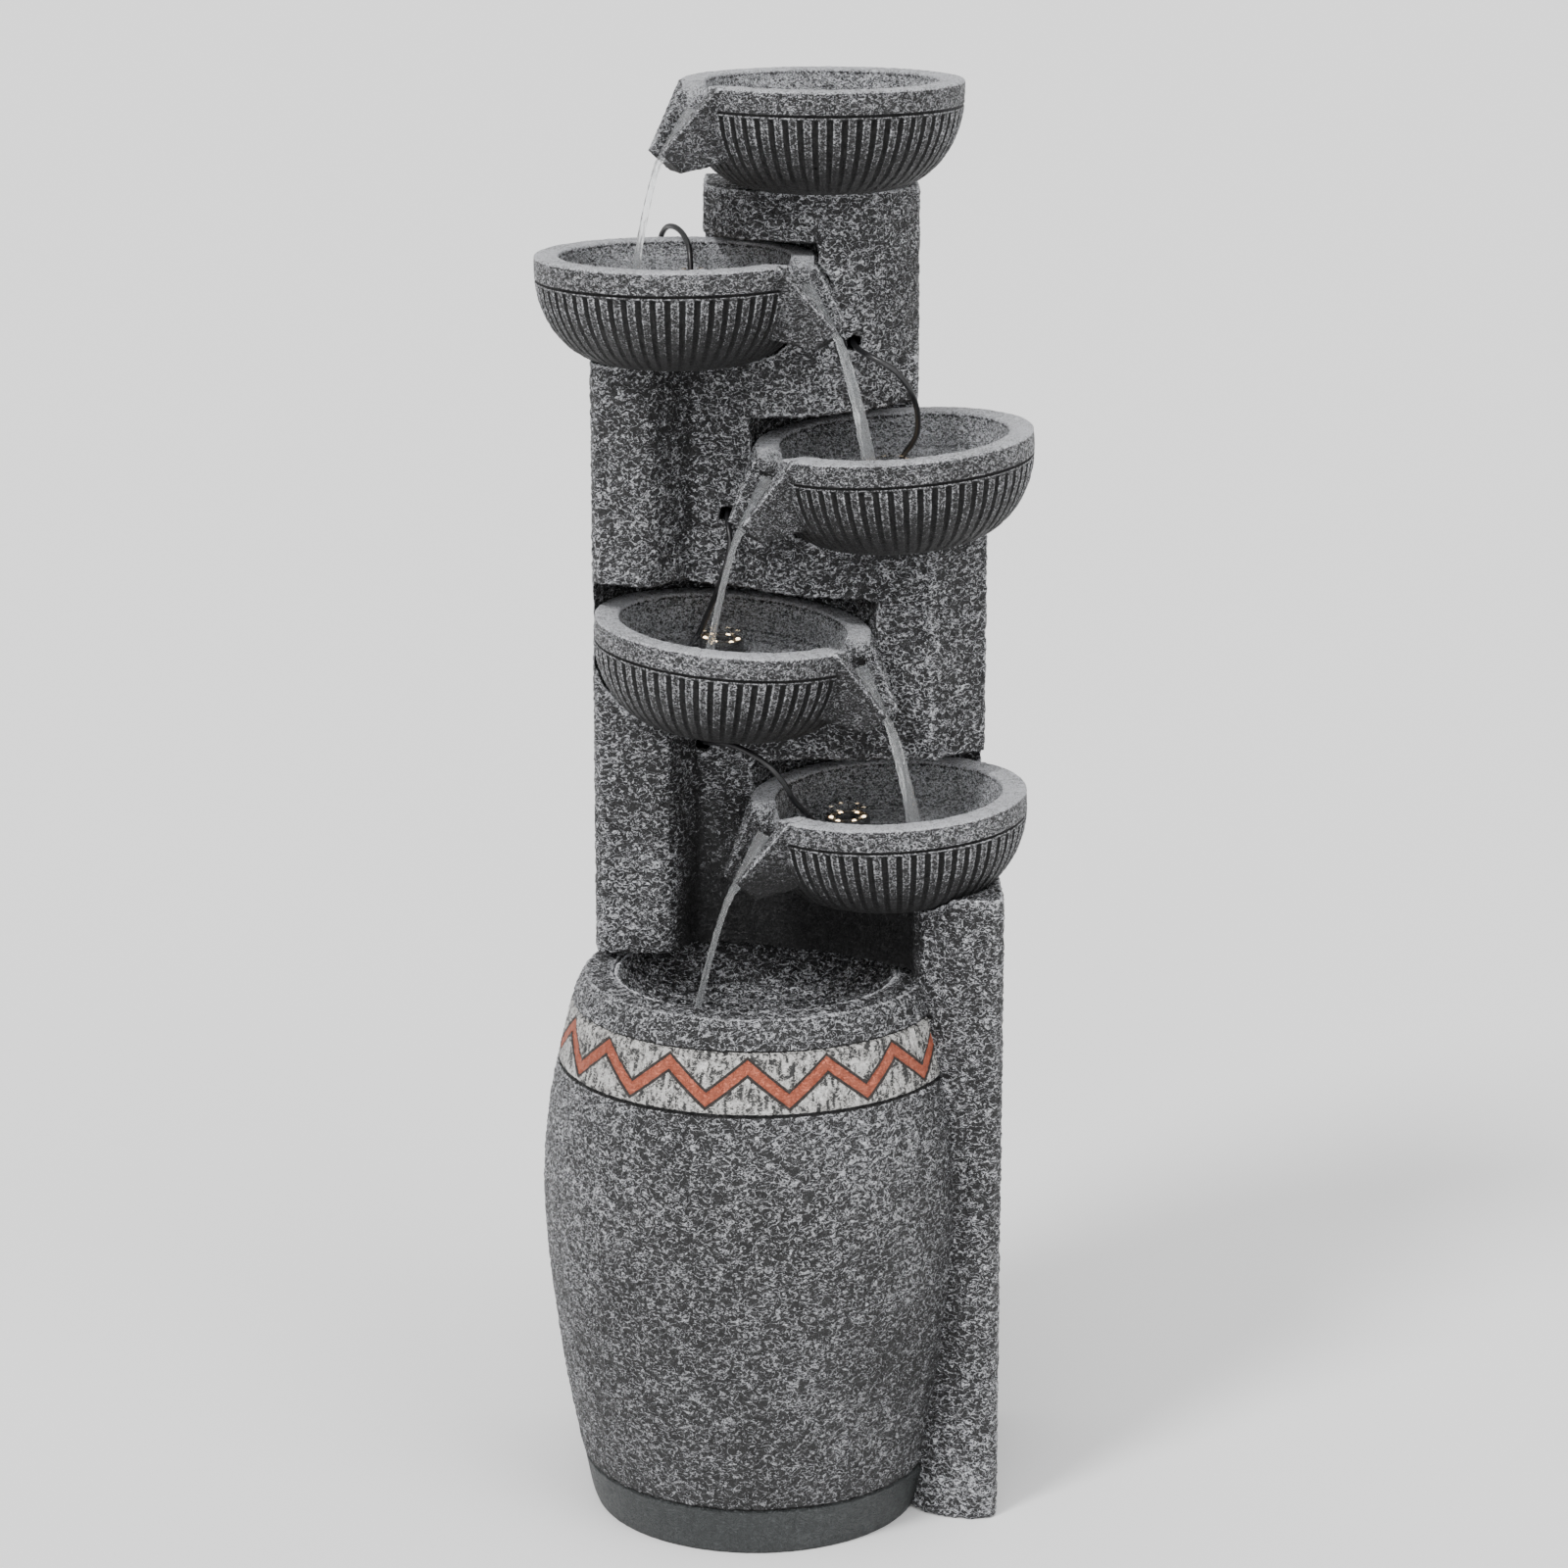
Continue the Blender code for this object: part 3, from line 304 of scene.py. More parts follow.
def ceramic():
    """Ground white ceramic."""
    s = Shader("ceramic_ground")
    s.colour(s.ramp(s.noise(300.0), [(0.3, (0.74, 0.73, 0.70)), (0.7, (0.86, 0.86, 0.84))]))
    s.rough(s.span(s.noise(800.0, stretch=(1, 12, 1)), 0.3, 0.7, 0.18, 0.36))
    s.bump(s.noise(1600.0, stretch=(1, 12, 1)), 0.00005, 0.4)
    return s.material


def ferrite():
    """Bonded ferrite magnet."""
    s = Shader("ferrite_bonded", Metallic=0.35)
    s.colour(s.ramp(s.noise(700.0, 5.0), [(0.3, (0.030, 0.030, 0.032)), (0.7, (0.085, 0.084, 0.088))]))
    s.rough(s.span(s.noise(350.0), 0.3, 0.7, 0.38, 0.60))
    s.bump(s.noise(1200.0), 0.0001, 0.5)
    return s.material


def stainless():
    """Brushed stainless steel."""
    s = Shader("stainless_brushed", Metallic=1.0)
    brushed = s.noise(260.0, 4.0, stretch=(1, 1, 22))
    s.colour(s.ramp(brushed, [(0.3, (0.46, 0.46, 0.47)), (0.7, (0.68, 0.67, 0.66))]))
    s.rough(s.span(brushed, 0.3, 0.7, 0.22, 0.42))
    s.bump(brushed, 0.00006, 0.5)
    return s.material


def vinyl():
    """Translucent vinyl hose."""
    s = Shader("vinyl_hose", Transmission_Weight=0.55, IOR=1.45)
    s.colour(s.ramp(s.noise(40.0), [(0.3, (0.70, 0.76, 0.75)), (0.7, (0.82, 0.86, 0.85))]))
    s.rough(s.span(s.noise(200.0), 0.3, 0.7, 0.14, 0.30))
    s.bump(s.noise(300.0, stretch=(6, 6, 1)), 0.0002, 0.4)
    return s.material


def lead_jacket():
    """Glossy black jacket of the lights' leads."""
    s = Shader("lead_jacket_gloss", Specular_IOR_Level=0.5)
    s.colour(s.ramp(s.noise(120.0), [(0.3, (0.006, 0.006, 0.007)), (0.7, (0.016, 0.016, 0.017))]))
    s.rough(s.span(s.noise(700.0), 0.3, 0.7, 0.26, 0.44))
    s.bump(s.noise(900.0), 0.0001, 0.4)
    return s.material


def glowing():
    """Warm light-emitting diode under a clear dome."""
    s = Shader("led_glow", Emission_Strength=9.0, Roughness=0.12, Coat_Weight=1.0)
    s.colour(s.ramp(s.noise(500.0), [(0.3, (1.0, 0.72, 0.36)), (0.7, (1.0, 0.86, 0.56))]))
    warm = s.ramp(s.noise(420.0), [(0.35, (1.0, 0.60, 0.25)), (0.65, (1.0, 0.88, 0.66))])
    s.tree.links.new(warm, s.main.inputs["Emission Color"])
    return s.material


def potting():
    """Clear amber potting over the light's board."""
    s = Shader("led_potting", Coat_Weight=1.0)
    s.colour(s.ramp(s.noise(400.0), [(0.3, (0.10, 0.070, 0.030)), (0.7, (0.26, 0.18, 0.08))]))
    s.rough(s.span(s.noise(300.0), 0.3, 0.7, 0.06, 0.16))
    s.bump(s.noise(200.0), 0.0002, 0.3)
    return s.material


def water(name, alpha, waves, clear=1.0, stretch=None):
    """Clear water with small waves on its surface."""
    s = Shader(name, Transmission_Weight=clear, IOR=1.333, Alpha=alpha)
    s.colour(s.ramp(s.noise(60.0), [(0.3, (0.90, 0.94, 0.96)), (0.7, (1.0, 1.0, 1.0))]))
    s.rough(s.span(s.noise(150.0), 0.3, 0.7, 0.01, 0.06))
    s.bump(s.noise(waves, 3.0, stretch=stretch), 0.0014, 0.7)
    return s.material


# ---- relief ----------------------------------------------------------------------------------
def lattice(ix, iy, iz):
    """Repeatable numbers from -1 to 1 at whole-number points."""
    mask = 0xFFFFFFFF
    h = (ix * 374761393 + iy * 668265263 + iz * 1442695041) & mask
    h = ((h ^ (h >> 13)) * 1274126177) & mask
    return ((h ^ (h >> 16)) & 0xFFFF) / 32767.5 - 1.0


def noise3(points):
    """Smooth noise from -1 to 1 at an array of points."""
    cell = np.floor(points).astype(np.int64)
    f = points - cell
    ease = f * f * (3 - 2 * f)
    total = np.zeros(len(points))
    for corner in np.ndindex(2, 2, 2):
        share = np.prod([ease[:, k] if corner[k] else 1 - ease[:, k] for k in range(3)], axis=0)
        total += share * lattice(*(cell[:, k] + corner[k] for k in range(3)))
    return total


def wrinkles(points, size):
    """Hammered relief from 0 in the pits to 1 on thin winding crests."""
    q = points / size
    q = q + 0.7 * np.stack([noise3(q * 0.8 + shift) for shift in (11.3, 37.1, 71.7)], axis=1)
    coarse = 1 - 2.4 * np.abs(noise3(q))
    fine = 1 - 2.4 * np.abs(noise3(q * 2.1 + 5.5))
    return np.clip(0.55 * coarse + 0.45 * fine, 0, 1)


def read(mesh, layer, attribute, width):
    """A mesh layer as an array of rows."""
    out = np.empty(len(layer) * width, np.float32)
    layer.foreach_get(attribute, out)
    return out.reshape(-1, width).astype(float)


def smoothed(mesh, points, rounds):
    """Points moved towards the mean of their neighbours."""
    edges = np.empty(len(mesh.edges) * 2, np.int32)
    mesh.edges.foreach_get("vertices", edges)
    a, b = edges.reshape(-1, 2).T
    ends, others = np.concatenate([a, b]), np.concatenate([b, a])
    count = np.maximum(np.bincount(ends, minlength=len(points)), 1)[:, None]
    for _ in range(rounds):
        total = [np.bincount(ends, weights=points[others, k], minlength=len(points)) for k in range(3)]
        points = 0.5 * points + 0.5 * np.stack(total, axis=1) / count
    return points


def store(mesh, name, values):
    """Keep a number for each point under a name that materials read."""
    layer = mesh.attributes.get(name) or mesh.attributes.new(name, "FLOAT", "POINT")
    layer.data.foreach_set("value", np.asarray(values, np.float32))


def painted_recess_shade(points):
    """Share of painted shade on the recessed tower face above the jar's mouth, where the dry-brushed white is
    held back.
    """
    x, y, z = points.T
    low = np.interp(z, [0.388, 0.396, 0.420, 0.530], [0.0, 1.0, 1.0, 0.0])
    deep = np.interp(y, [-0.050, -0.045, 0.080, 0.090], [0.0, 1.0, 1.0, 0.0])
    across = np.interp(x, [-0.080, -0.068, 0.085, 0.095], [0.0, 1.0, 1.0, 0.0])
    return 0.62 * low * deep * across


def weather(obj, size, depth, edge_size, soften=0, calm=None):
    """Give a casting its relief, and store crests and edges for its dry-brushed paint, with painted shade in
    its creases, on its undersides and in the recess above the jar's mouth.

    size and depth are the wrinkles', edge_size is how far a sharp edge stands out, and calm is a
    share for each point by which the relief is held back.
    """
    mesh = obj.data
    base = smoothed(mesh, read(mesh, mesh.vertices, "co", 3), soften)
    mesh.vertices.foreach_set("co", base.astype(np.float32).ravel())
    mesh.update()
    normal = read(mesh, mesh.vertex_normals, "vector", 3)
    edge = ((base - smoothed(mesh, base, 5)) * normal).sum(axis=1) / edge_size
    height = wrinkles(base, size)
    keep = 1.0 if calm is None else 1.0 - calm
    moved = base + normal * ((height - 0.55) * depth * keep)[:, None]
    mesh.vertices.foreach_set("co", moved.astype(np.float32).ravel())
    mesh.update()
    store(mesh, "crest", height * keep + 0.25 * (1 - keep))
    # Convex edges get more dry-brushed white; concave creases, clipped at -0.25, get painted shade.
    sharp = np.sign(edge) * np.maximum(np.abs(edge) - 0.3, 0.0)
    store(mesh, "edge", np.clip(sharp, -0.25, 0.7))
    # Painted shade: the dry-brushed white is held back on surfaces facing down and in the recess above the
    # jar's mouth, and raised a little on surfaces facing up.
    store(mesh, "brush_and_painted_shade", np.clip(1.0 + 0.75 * normal[:, 2], 0.25, 1.08) * (1.0 - painted_recess_shade(base)))


# ---- mesh helpers ----------------------------------------------------------------------------
def new_object(name, mesh, material):
    """A linked, smoothly shaded object."""
    obj = bpy.data.objects.new(name, mesh)
    bpy.context.scene.collection.objects.link(obj)
    mesh.materials.clear()
    mesh.materials.append(material)
    mesh.shade_smooth()
    return obj


def settle(obj, body, slot_name, *nodes):
    """Place a finished piece under its body and hide the CAD nodes it stands for; slot_name is not used."""
    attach(obj, body)
    if nodes:
        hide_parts(*nodes)
    return obj


def resampled(points, spacing):
    """A polyline with extra points, so that no step is longer than the spacing."""
    out = [points[0]]
    for (r0, z0), (r1, z1) in zip(points, points[1:]):
        steps = max(1, math.ceil(math.hypot(r1 - r0, z1 - z0) / spacing))
        out += [(r0 + (r1 - r0) * k / steps, z0 + (z1 - z0) * k / steps) for k in range(1, steps + 1)]
    return out


def smooth_route(route, spacing):
    """Points a spacing apart on the Catmull-Rom curve through the route's own points."""
    pts = [Vector(p) for p in route]
    pts = [2 * pts[0] - pts[1]] + pts + [2 * pts[-1] - pts[-2]]
    dense = []
    for i in range(1, len(pts) - 2):
        p0, p1, p2, p3 = pts[i - 1:i + 3]
        for k in range(24):
            t = k / 24
            dense.append(0.5 * ((2 * p1) + (p2 - p0) * t + (2 * p0 - 5 * p1 + 4 * p2 - p3) * t * t
                                + (3 * p1 - p0 - 3 * p2 + p3) * t ** 3))
    dense.append(pts[-2])
    length = sum((b - a).length for a, b in zip(dense, dense[1:]))
    count = max(2, round(length / spacing))
    out, travelled, target = [dense[0]], 0.0, length / count
    for a, b in zip(dense, dense[1:]):
        step = (b - a).length
        while travelled + step >= target - 1e-9 and len(out) < count:
            out.append(a.lerp(b, (target - travelled) / step))
            target += length / count
        travelled += step
    return out + [dense[-1]]


def revolved(profile, columns, shape=None):
    """A mesh turned round the Z axis. shape may move its (angle, radius, height) arrays."""
    r, z = np.array(profile, float).T
    angle = 2 * np.pi * np.arange(columns) / columns
    angles, radii = np.meshgrid(angle, r)
    heights = np.repeat(z[:, None], columns, axis=1)
    if shape:
        radii = shape(angles, radii, heights)
    points = np.stack([radii * np.cos(angles), radii * np.sin(angles), heights], axis=-1).reshape(-1, 3)
    grid = np.arange(len(r) * columns).reshape(len(r), columns)
    following = np.roll(grid, -1, axis=1)
    quads = np.stack([grid[:-1], following[:-1], following[1:], grid[1:]], axis=-1).reshape(-1, 4)
    mesh = bpy.data.meshes.new("turned")
    mesh.from_pydata(points.tolist(), [], quads.tolist())
    bm = bmesh.new()
    bm.from_mesh(mesh)
    bmesh.ops.remove_doubles(bm, verts=bm.verts, dist=0.000001)
    bmesh.ops.recalc_face_normals(bm, faces=bm.faces)
    bm.to_mesh(mesh)
    bm.free()
    return mesh


def with_modifiers(obj):
    """Apply an object's modifiers to its mesh."""
    graph = bpy.context.evaluated_depsgraph_get()
    obj.data = bpy.data.meshes.new_from_object(obj.evaluated_get(graph))
    obj.modifiers.clear()
    return obj


def cut(obj, cutters):
    """Subtract each of some meshes from an object."""
    for mesh in cutters:
        tool = bpy.data.objects.new("cutter", mesh)
        bpy.context.scene.collection.objects.link(tool)
        mod = obj.modifiers.new("cut", "BOOLEAN")
        mod.operation, mod.object, mod.solver = "DIFFERENCE", tool, "EXACT"
        with_modifiers(obj)
        bpy.data.objects.remove(tool)
    return obj


def remeshed(obj, voxel):
    """An even mesh over an object's surface."""
    mod = obj.modifiers.new("even", "REMESH")
    mod.mode, mod.voxel_size, mod.adaptivity = "VOXEL", voxel, 0.0
    return with_modifiers(obj)


def joined(name, meshes, material):
    """One object made of several meshes."""
    bm = bmesh.new()
    for mesh in meshes:
        bm.from_mesh(mesh)
    out = bpy.data.meshes.new(name)
    bm.to_mesh(out)
    bm.free()
    return new_object(name, out, material)


def wedge(stations, widths):
    """A solid between two mirrored side outlines, for a spout along +X."""
    bm = bmesh.new()
    left, right = ([bm.verts.new((x, sign * half, z)) for (x, z), half in zip(stations, widths)]
                   for sign in (-1, 1))
    bm.faces.new(left)
    bm.faces.new(right)
    for i in range(len(left)):
        j = (i + 1) % len(left)
        bm.faces.new((left[i], left[j], right[j], right[i]))
    bmesh.ops.triangulate(bm, faces=bm.faces)
    bmesh.ops.recalc_face_normals(bm, faces=bm.faces)
    mesh = bpy.data.meshes.new("wedge")
    bm.to_mesh(mesh)
    bm.free()
    return mesh


# ---- bowls -----------------------------------------------------------------------------------
def bowl_outer(steps, shrink=0.0):
    """Outside of a bowl from its rim down to the foot."""
    rim, belly = 0.012, BOWL_H - 0.012
    points = [(BOWL_R - shrink, 0.0), (BOWL_R - shrink, -rim)]
    for i in range(1, steps + 1):
        angle = math.radians(90) * i / steps
        radius = BOWL_FOOT_R + (BOWL_R - BOWL_FOOT_R) * math.cos(angle) ** 0.92
        points.append((radius - shrink, -rim - belly * math.sin(angle) ** 1.08))
    return points


def line_cut(heights, at, half, depth):
    """How deep a line cut round a surface is at some heights."""
    return depth * np.exp(-((heights - at) / half) ** 4)


def bowl_cuts(angles, radii, heights):
    """Depth of the line and the flutes cut into a bowl's outside."""
    limits = [0.088, 0.083, 0.0745, 0.0635, 0.037]
    outside = radii > np.interp(-heights, [0.0, 0.030, 0.042, 0.055, BOWL_H], limits)
    line = line_cut(heights, -BOWL_BAND, 0.0008, 0.0012)
    turn = (angles * BOWL_FLUTES / (2 * np.pi)) % 1.0 - 0.5
    groove = np.exp(-(turn / 0.17) ** 4)
    below_line = np.clip((-heights - BOWL_BAND - 0.0020) / 0.0010, 0, 1)
    above_foot = np.clip((BOWL_H - 0.001 + heights) / 0.004, 0, 1)
    flutes = groove * below_line * above_foot * 0.0016 * np.clip(radii / BOWL_R, 0.35, 1.0)
    return np.where(outside, np.maximum(line, flutes), 0.0)


def bowl_shape(angles, radii, heights):
    """A bowl's radii with its line and flutes cut in."""
    return radii - bowl_cuts(angles, radii, heights)


def spout_channel():
    """The open channel of a spout, as a cutter."""
    stations = [(0.060, 0.012), (0.104, 0.012), (0.1400, -0.0320), (0.1235, -0.0600), (0.084, -0.019),
                (0.060, -0.016)]
    return wedge(stations, [0.0240, 0.0240, 0.0062, 0.0050, 0.0190, 0.0190])


def bowl_mesh():
    """The casting that all five bowls share: fluted bowl with a notch, and the spout."""
    edge = 0.0012
    floor = [(0.0, -BOWL_FLOOR), (0.062, -BOWL_FLOOR), (0.067, -0.0290), (0.0745, -0.0240), (0.0775, -0.0100),
             (BOWL_INNER_R - 0.0002, -edge), (BOWL_INNER_R + 0.0004, -0.0003), (BOWL_INNER_R + edge, 0.0)]
    rim = [(BOWL_R - edge, 0.0), (BOWL_R - 0.0004, -0.0003), (BOWL_R, -edge)]
    outside = bowl_outer(48)[1:]
    under = [(BOWL_FOOT_R - 0.001, -BOWL_H), (0.034, -BOWL_H), (0.0, -0.066)]
    profile = resampled(floor, 0.0016) + resampled(rim, 0.0016) + resampled([rim[-1]] + outside, 0.0009)
    profile += resampled(under, 0.003)
    body = new_object("bowl_body", revolved(profile, 480, bowl_shape), MATERIALS["bowl_resin"])
    cut(body, [spout_channel()])
    x, y, z = read(body.data, body.data.vertices, "co", 3).T
    inner = (z < -0.004) & (z > -0.034) & (np.hypot(x, y) < BOWL_INNER_R)
    cuts = bowl_cuts(np.arctan2(y, x), np.hypot(x, y), z) / 0.0014
    # Painted light: the bowl's inside floor and wall, where no cut lies, get a groove value of -0.22, which
    # lightens them.
    store(body.data, "groove", np.where(inner & (cuts < 0.01), -0.22, cuts))

    stations = [(0.068, 0.0), (0.0905, 0.0), (SPOUT_TIP, -SPOUT_DROP), (0.107, -0.058), (0.070, -0.049)]
    widths = [0.033, 0.035, 0.0125, 0.0115, 0.026]
    spout = new_object("spout", wedge(stations, widths), MATERIALS["bowl_resin"])
    inner = [(0.0, 0.004), (BOWL_R - 0.0035, 0.004)] + bowl_outer(16, 0.0035)[1:] + [(0.0, -BOWL_H - 0.002)]
    cut(spout, [spout_channel(), revolved(inner, 96)])
    remeshed(spout, 0.0010)
    store(spout.data, "groove", np.zeros(len(spout.data.vertices)))
    spout.data.vertices.foreach_set("co", smoothed(spout.data, read(spout.data, spout.data.vertices, "co", 3),
                                                   2).astype(np.float32).ravel())
    both = joined("bowl_casting", [body.data, spout.data], MATERIALS["bowl_resin"])
    for obj in (body, spout):
        bpy.data.objects.remove(obj)
    mesh = both.data
    bpy.data.objects.remove(both)
    return mesh


def bowl_matrix(name):
    """Placement of a bowl: its rim centre, turned to its spout and tilted towards it."""
    x, y, z, tilt, side = BOWLS[name]
    yaw = -SPOUT_YAW if side > 0 else math.pi + SPOUT_YAW
    turn = Matrix.Rotation(yaw, 4, "Z") @ Matrix.Rotation(math.radians(tilt), 4, "Y")
    return Matrix.Translation(JAR_AXIS + Vector((x, y, z))) @ turn


def make_bowls():
    """The five bowls, each with its own relief."""
    shared = bowl_mesh()
    for name in BOWLS:
        mesh = shared.copy()
        mesh.transform(bowl_matrix(name))
        obj = new_object(f"{name}_casting", mesh, MATERIALS["bowl_resin"])
        weather(obj, 0.0040, 0.0005, 0.00040)
        settle(obj, ROOT, "bowl_resin", name)


# ---- jar -------------------------------------------------------------------------------------
def jar_outer_rows():
    """Outside of the jar from its foot to the rim, closer together where the band is painted."""
    route = smooth_route([(r, 0.0, z) for r, z in JAR_PROFILE], 0.001)
    radius = np.array([p.x for p in route])
    height = np.array([p.z for p in route])
    plinth = np.arange(0.0320, 0.0385, 0.0006)
    band = np.arange(0.3245, 0.3730, 0.0009)
    rows = np.concatenate([np.arange(0.0, 0.0315, 0.003), plinth, np.arange(0.040, 0.3235, 0.0020), band,
                           np.arange(0.3745, 0.3865, 0.0020)])
    return [(float(np.interp(z, height, radius)), float(z)) for z in rows]


def zigzag_distance(angles, radii, heights):
    """Distance from the zigzag's line to points on the jar."""
    pitch = 2 * np.pi / ZIGZAG_TEETH
    phase = ((angles + np.pi / 2 - ZIGZAG_PHASE) / pitch) % 1.0
    line = ZIGZAG_LOW + (ZIGZAG_HIGH - ZIGZAG_LOW) * np.abs(2 * phase - 1)
    slope = (ZIGZAG_HIGH - ZIGZAG_LOW) / (np.maximum(radii, 0.01) * pitch / 2)
    return np.abs(heights - line) / np.sqrt(1 + slope ** 2)


def jar_shape(angles, radii, heights):
    """Cut the lines and the zigzag into the jar's outside."""
    outside = radii > np.interp(heights, [0.0, 0.05, 0.15, 0.235, 0.297, 0.35, 0.39],
                                [0.111, 0.123, 0.139, 0.1455, 0.1405, 0.127, 0.114])
    out = radii.copy()
    for at in JAR_GROOVES:
        out -= np.where(outside, line_cut(heights, at, 0.0010, 0.0015), 0.0)
    away = zigzag_distance(angles, radii, heights) / ZIGZAG_HALF
    stroke = 0.0005 * np.clip((1.25 - away) / 0.2, 0, 1) + 0.0007 * np.exp(-((away - 1.12) / 0.16) ** 2)
    return out - np.where(outside, stroke, 0.0)


def pillar_front(x):
    """Front of the pillar beside the jar, in the jar's own place."""
    return np.interp(x, *zip(*PILLAR_FRONT))


def make_jar():
    """The jar: outside with its band, rim, mouth and the reservoir inside."""
    edge = 0.0016
    rim = [(0.1202, 0.3882), (JAR_RIM_R - 0.0006, 0.3896), (JAR_RIM_R - edge - 0.0006, JAR_RIM_Z),
           (JAR_MOUTH_R + edge, JAR_RIM_Z), (JAR_MOUTH_R + 0.0004, 0.3896), (JAR_MOUTH_R, 0.3884),
           (JAR_MOUTH_R, 0.3480), (0.0932, 0.3480), (0.0932, 0.3300)]
    room = [(r - JAR_WALL, z) for r, z in reversed(JAR_PROFILE) if 0.020 < z < 0.31]
    room += [(0.108, 0.010), (0.0, 0.010)]
    profile = [(0.0, 0.0)] + jar_outer_rows() + resampled(rim, 0.0018) + resampled(room, 0.008)
    mesh = revolved(profile, 720, jar_shape)
    points = read(mesh, mesh.vertices, "co", 3)
    x, y, z = points.T
    angle, radius = np.arctan2(y, x), np.hypot(x, y)
    outer_radius = np.interp(z, [h for _, h in JAR_PROFILE], [r for r, _ in JAR_PROFILE])
    outside = (radius > outer_radius - 0.0045) & (z < 0.3885)
    inside = (radius < outer_radius - 0.0045) & (z > 0.005) & (z < 0.335)
    store(mesh, "stroke", np.where(outside, zigzag_distance(angle, radius, z) / ZIGZAG_HALF / 1.9, 9.0))
    low, high = JAR_GROOVES[1], JAR_GROOVES[0]
    store(mesh, "band", (outside & (z > low + 0.0003) & (z < high - 0.0003)).astype(float))
    plinth = outside & (z < JAR_PLINTH_Z - 0.0002)
    store(mesh, "plinth", plinth.astype(float))
    lines = sum(line_cut(z, at, 0.0011, 1.0) for at in JAR_GROOVES)
    store(mesh, "groove", np.where(outside, lines, 0.0))
    obj = new_object("jar_casting", mesh, MATERIALS["jar_resin"])
    obj.location = JAR_AXIS
    calm = np.where(plinth, 0.85, 0.0) + np.where(inside, 0.6, 0.0)
    calm = np.maximum(calm, np.where(outside & (z > low) & (z < high), 0.45, 0.0))
    x, y, _ = read(obj.data, obj.data.vertices, "co", 3).T
    hidden = (x > JAR_CUT_X - 0.0012) & (y > pillar_front(x) - 0.0008)
    for name, value in (("band", 0.0), ("stroke", 9.0)):
        layer = obj.data.attributes[name].data
        kept = read(obj.data, layer, "value", 1).ravel()
        layer.foreach_set("value", np.where(hidden, value, kept).astype(np.float32))
    weather(obj, 0.0052, 0.0013, 0.0006, calm=calm)
    flatten_jar(mesh, inside)
    obj.location = (0, 0, 0)
    mesh.transform(Matrix.Translation(JAR_AXIS))
    settle(obj, ROOT, "jar_resin", "jar_shell")


def flatten_jar(mesh, inside):
    """Flatten the jar's back and side where the tower covers it, and open it to the tower."""
    points = read(mesh, mesh.vertices, "co", 3)
    x, y, z = points.T
    points[:, 0] = np.where(inside, np.minimum(x, JAR_ROOM_X), x)
    limit = np.where(inside, JAR_CUT_Y - JAR_WALL, JAR_CUT_Y)
    beside = x < TOWER_LEFT_X
    wraps = beside | (~inside & (TOWER_LEFT_X - x > limit - y) & (y > limit) & (x < TOWER_LEFT_X + 0.03))
    points[:, 0] = np.where(wraps & ~inside & ~beside, TOWER_LEFT_X, points[:, 0])
    points[:, 1] = np.where(wraps & ~inside, y, np.minimum(y, limit))
    front = pillar_front(points[:, 0])
    covered = (points[:, 0] > JAR_CUT_X) & (points[:, 1] > front)
    nearer_side = (points[:, 0] - JAR_CUT_X) < (points[:, 1] - front)
    points[:, 0] = np.where(covered & nearer_side, JAR_CUT_X, points[:, 0])
    points[:, 1] = np.where(covered & ~nearer_side, front, points[:, 1])
    mesh.vertices.foreach_set("co", points.astype(np.float32).ravel())
    behind = points[:, 1] > JAR_CUT_Y - JAR_WALL - 0.0001
    opening = behind & (z > JAR_SILL_Z) & (z < JAR_SILL_TOP) & (np.abs(points[:, 0]) < 0.093)
    opening |= ((points[:, 1] > JAR_CUT_Y - 0.0001) & (z > JAR_SILL_TOP)
                & (points[:, 0] > TOWER_LEFT_X + 0.0005))
    bm = bmesh.new()
    bm.from_mesh(mesh)
    gone = [f for f in bm.faces if all(opening[v.index] for v in f.verts)]
    bmesh.ops.delete(bm, geom=gone, context="FACES")
    bm.to_mesh(mesh)
    bm.free()


# ---- castings taken from the CAD -------------------------------------------------------------
def make_casting(node, body, voxel, size, depth, slot_name, soften=2):
    """A casting with the CAD node's own shape, evenly meshed and weathered."""
    mesh = frame["nodes"][node].data.copy()
    bm = bmesh.new()
    bm.from_mesh(mesh)
    bmesh.ops.remove_doubles(bm, verts=bm.verts, dist=0.000002)
    bm.to_mesh(mesh)
    bm.free()
    obj = new_object(f"{node}_casting", mesh, MATERIALS[slot_name])
    remeshed(obj, voxel)
    obj.data.materials.clear()
    obj.data.materials.append(MATERIALS[slot_name])
    obj.data.shade_smooth()
    weather(obj, size, depth, voxel * 0.30, soften)
    return settle(obj, body, slot_name, node)


# ---- lights and leads ------------------------------------------------------------------------
def plane_point(bowl, dx, dy, depth):
    """A point at a depth under a tilted bowl's rim plane, above the offset given."""
    m = bowl_matrix(bowl)
    local = m.to_3x3().inverted() @ Vector((dx, dy, 0))
    return m @ Vector((local.x, local.y, -depth))


def dome(radius, height, centre, sides=20, rings=7):
    """A small clear dome, as a turned mesh."""
    profile = [(radius * math.cos(a), height * math.sin(a))
               for a in (math.radians(90) * i / rings for i in range(rings + 1))]
    mesh = revolved([(0.0, -0.0006), (radius, -0.0006)] + profile[:-1] + [(0.0, height)], sides)
    mesh.transform(Matrix.Translation(centre))
    return mesh


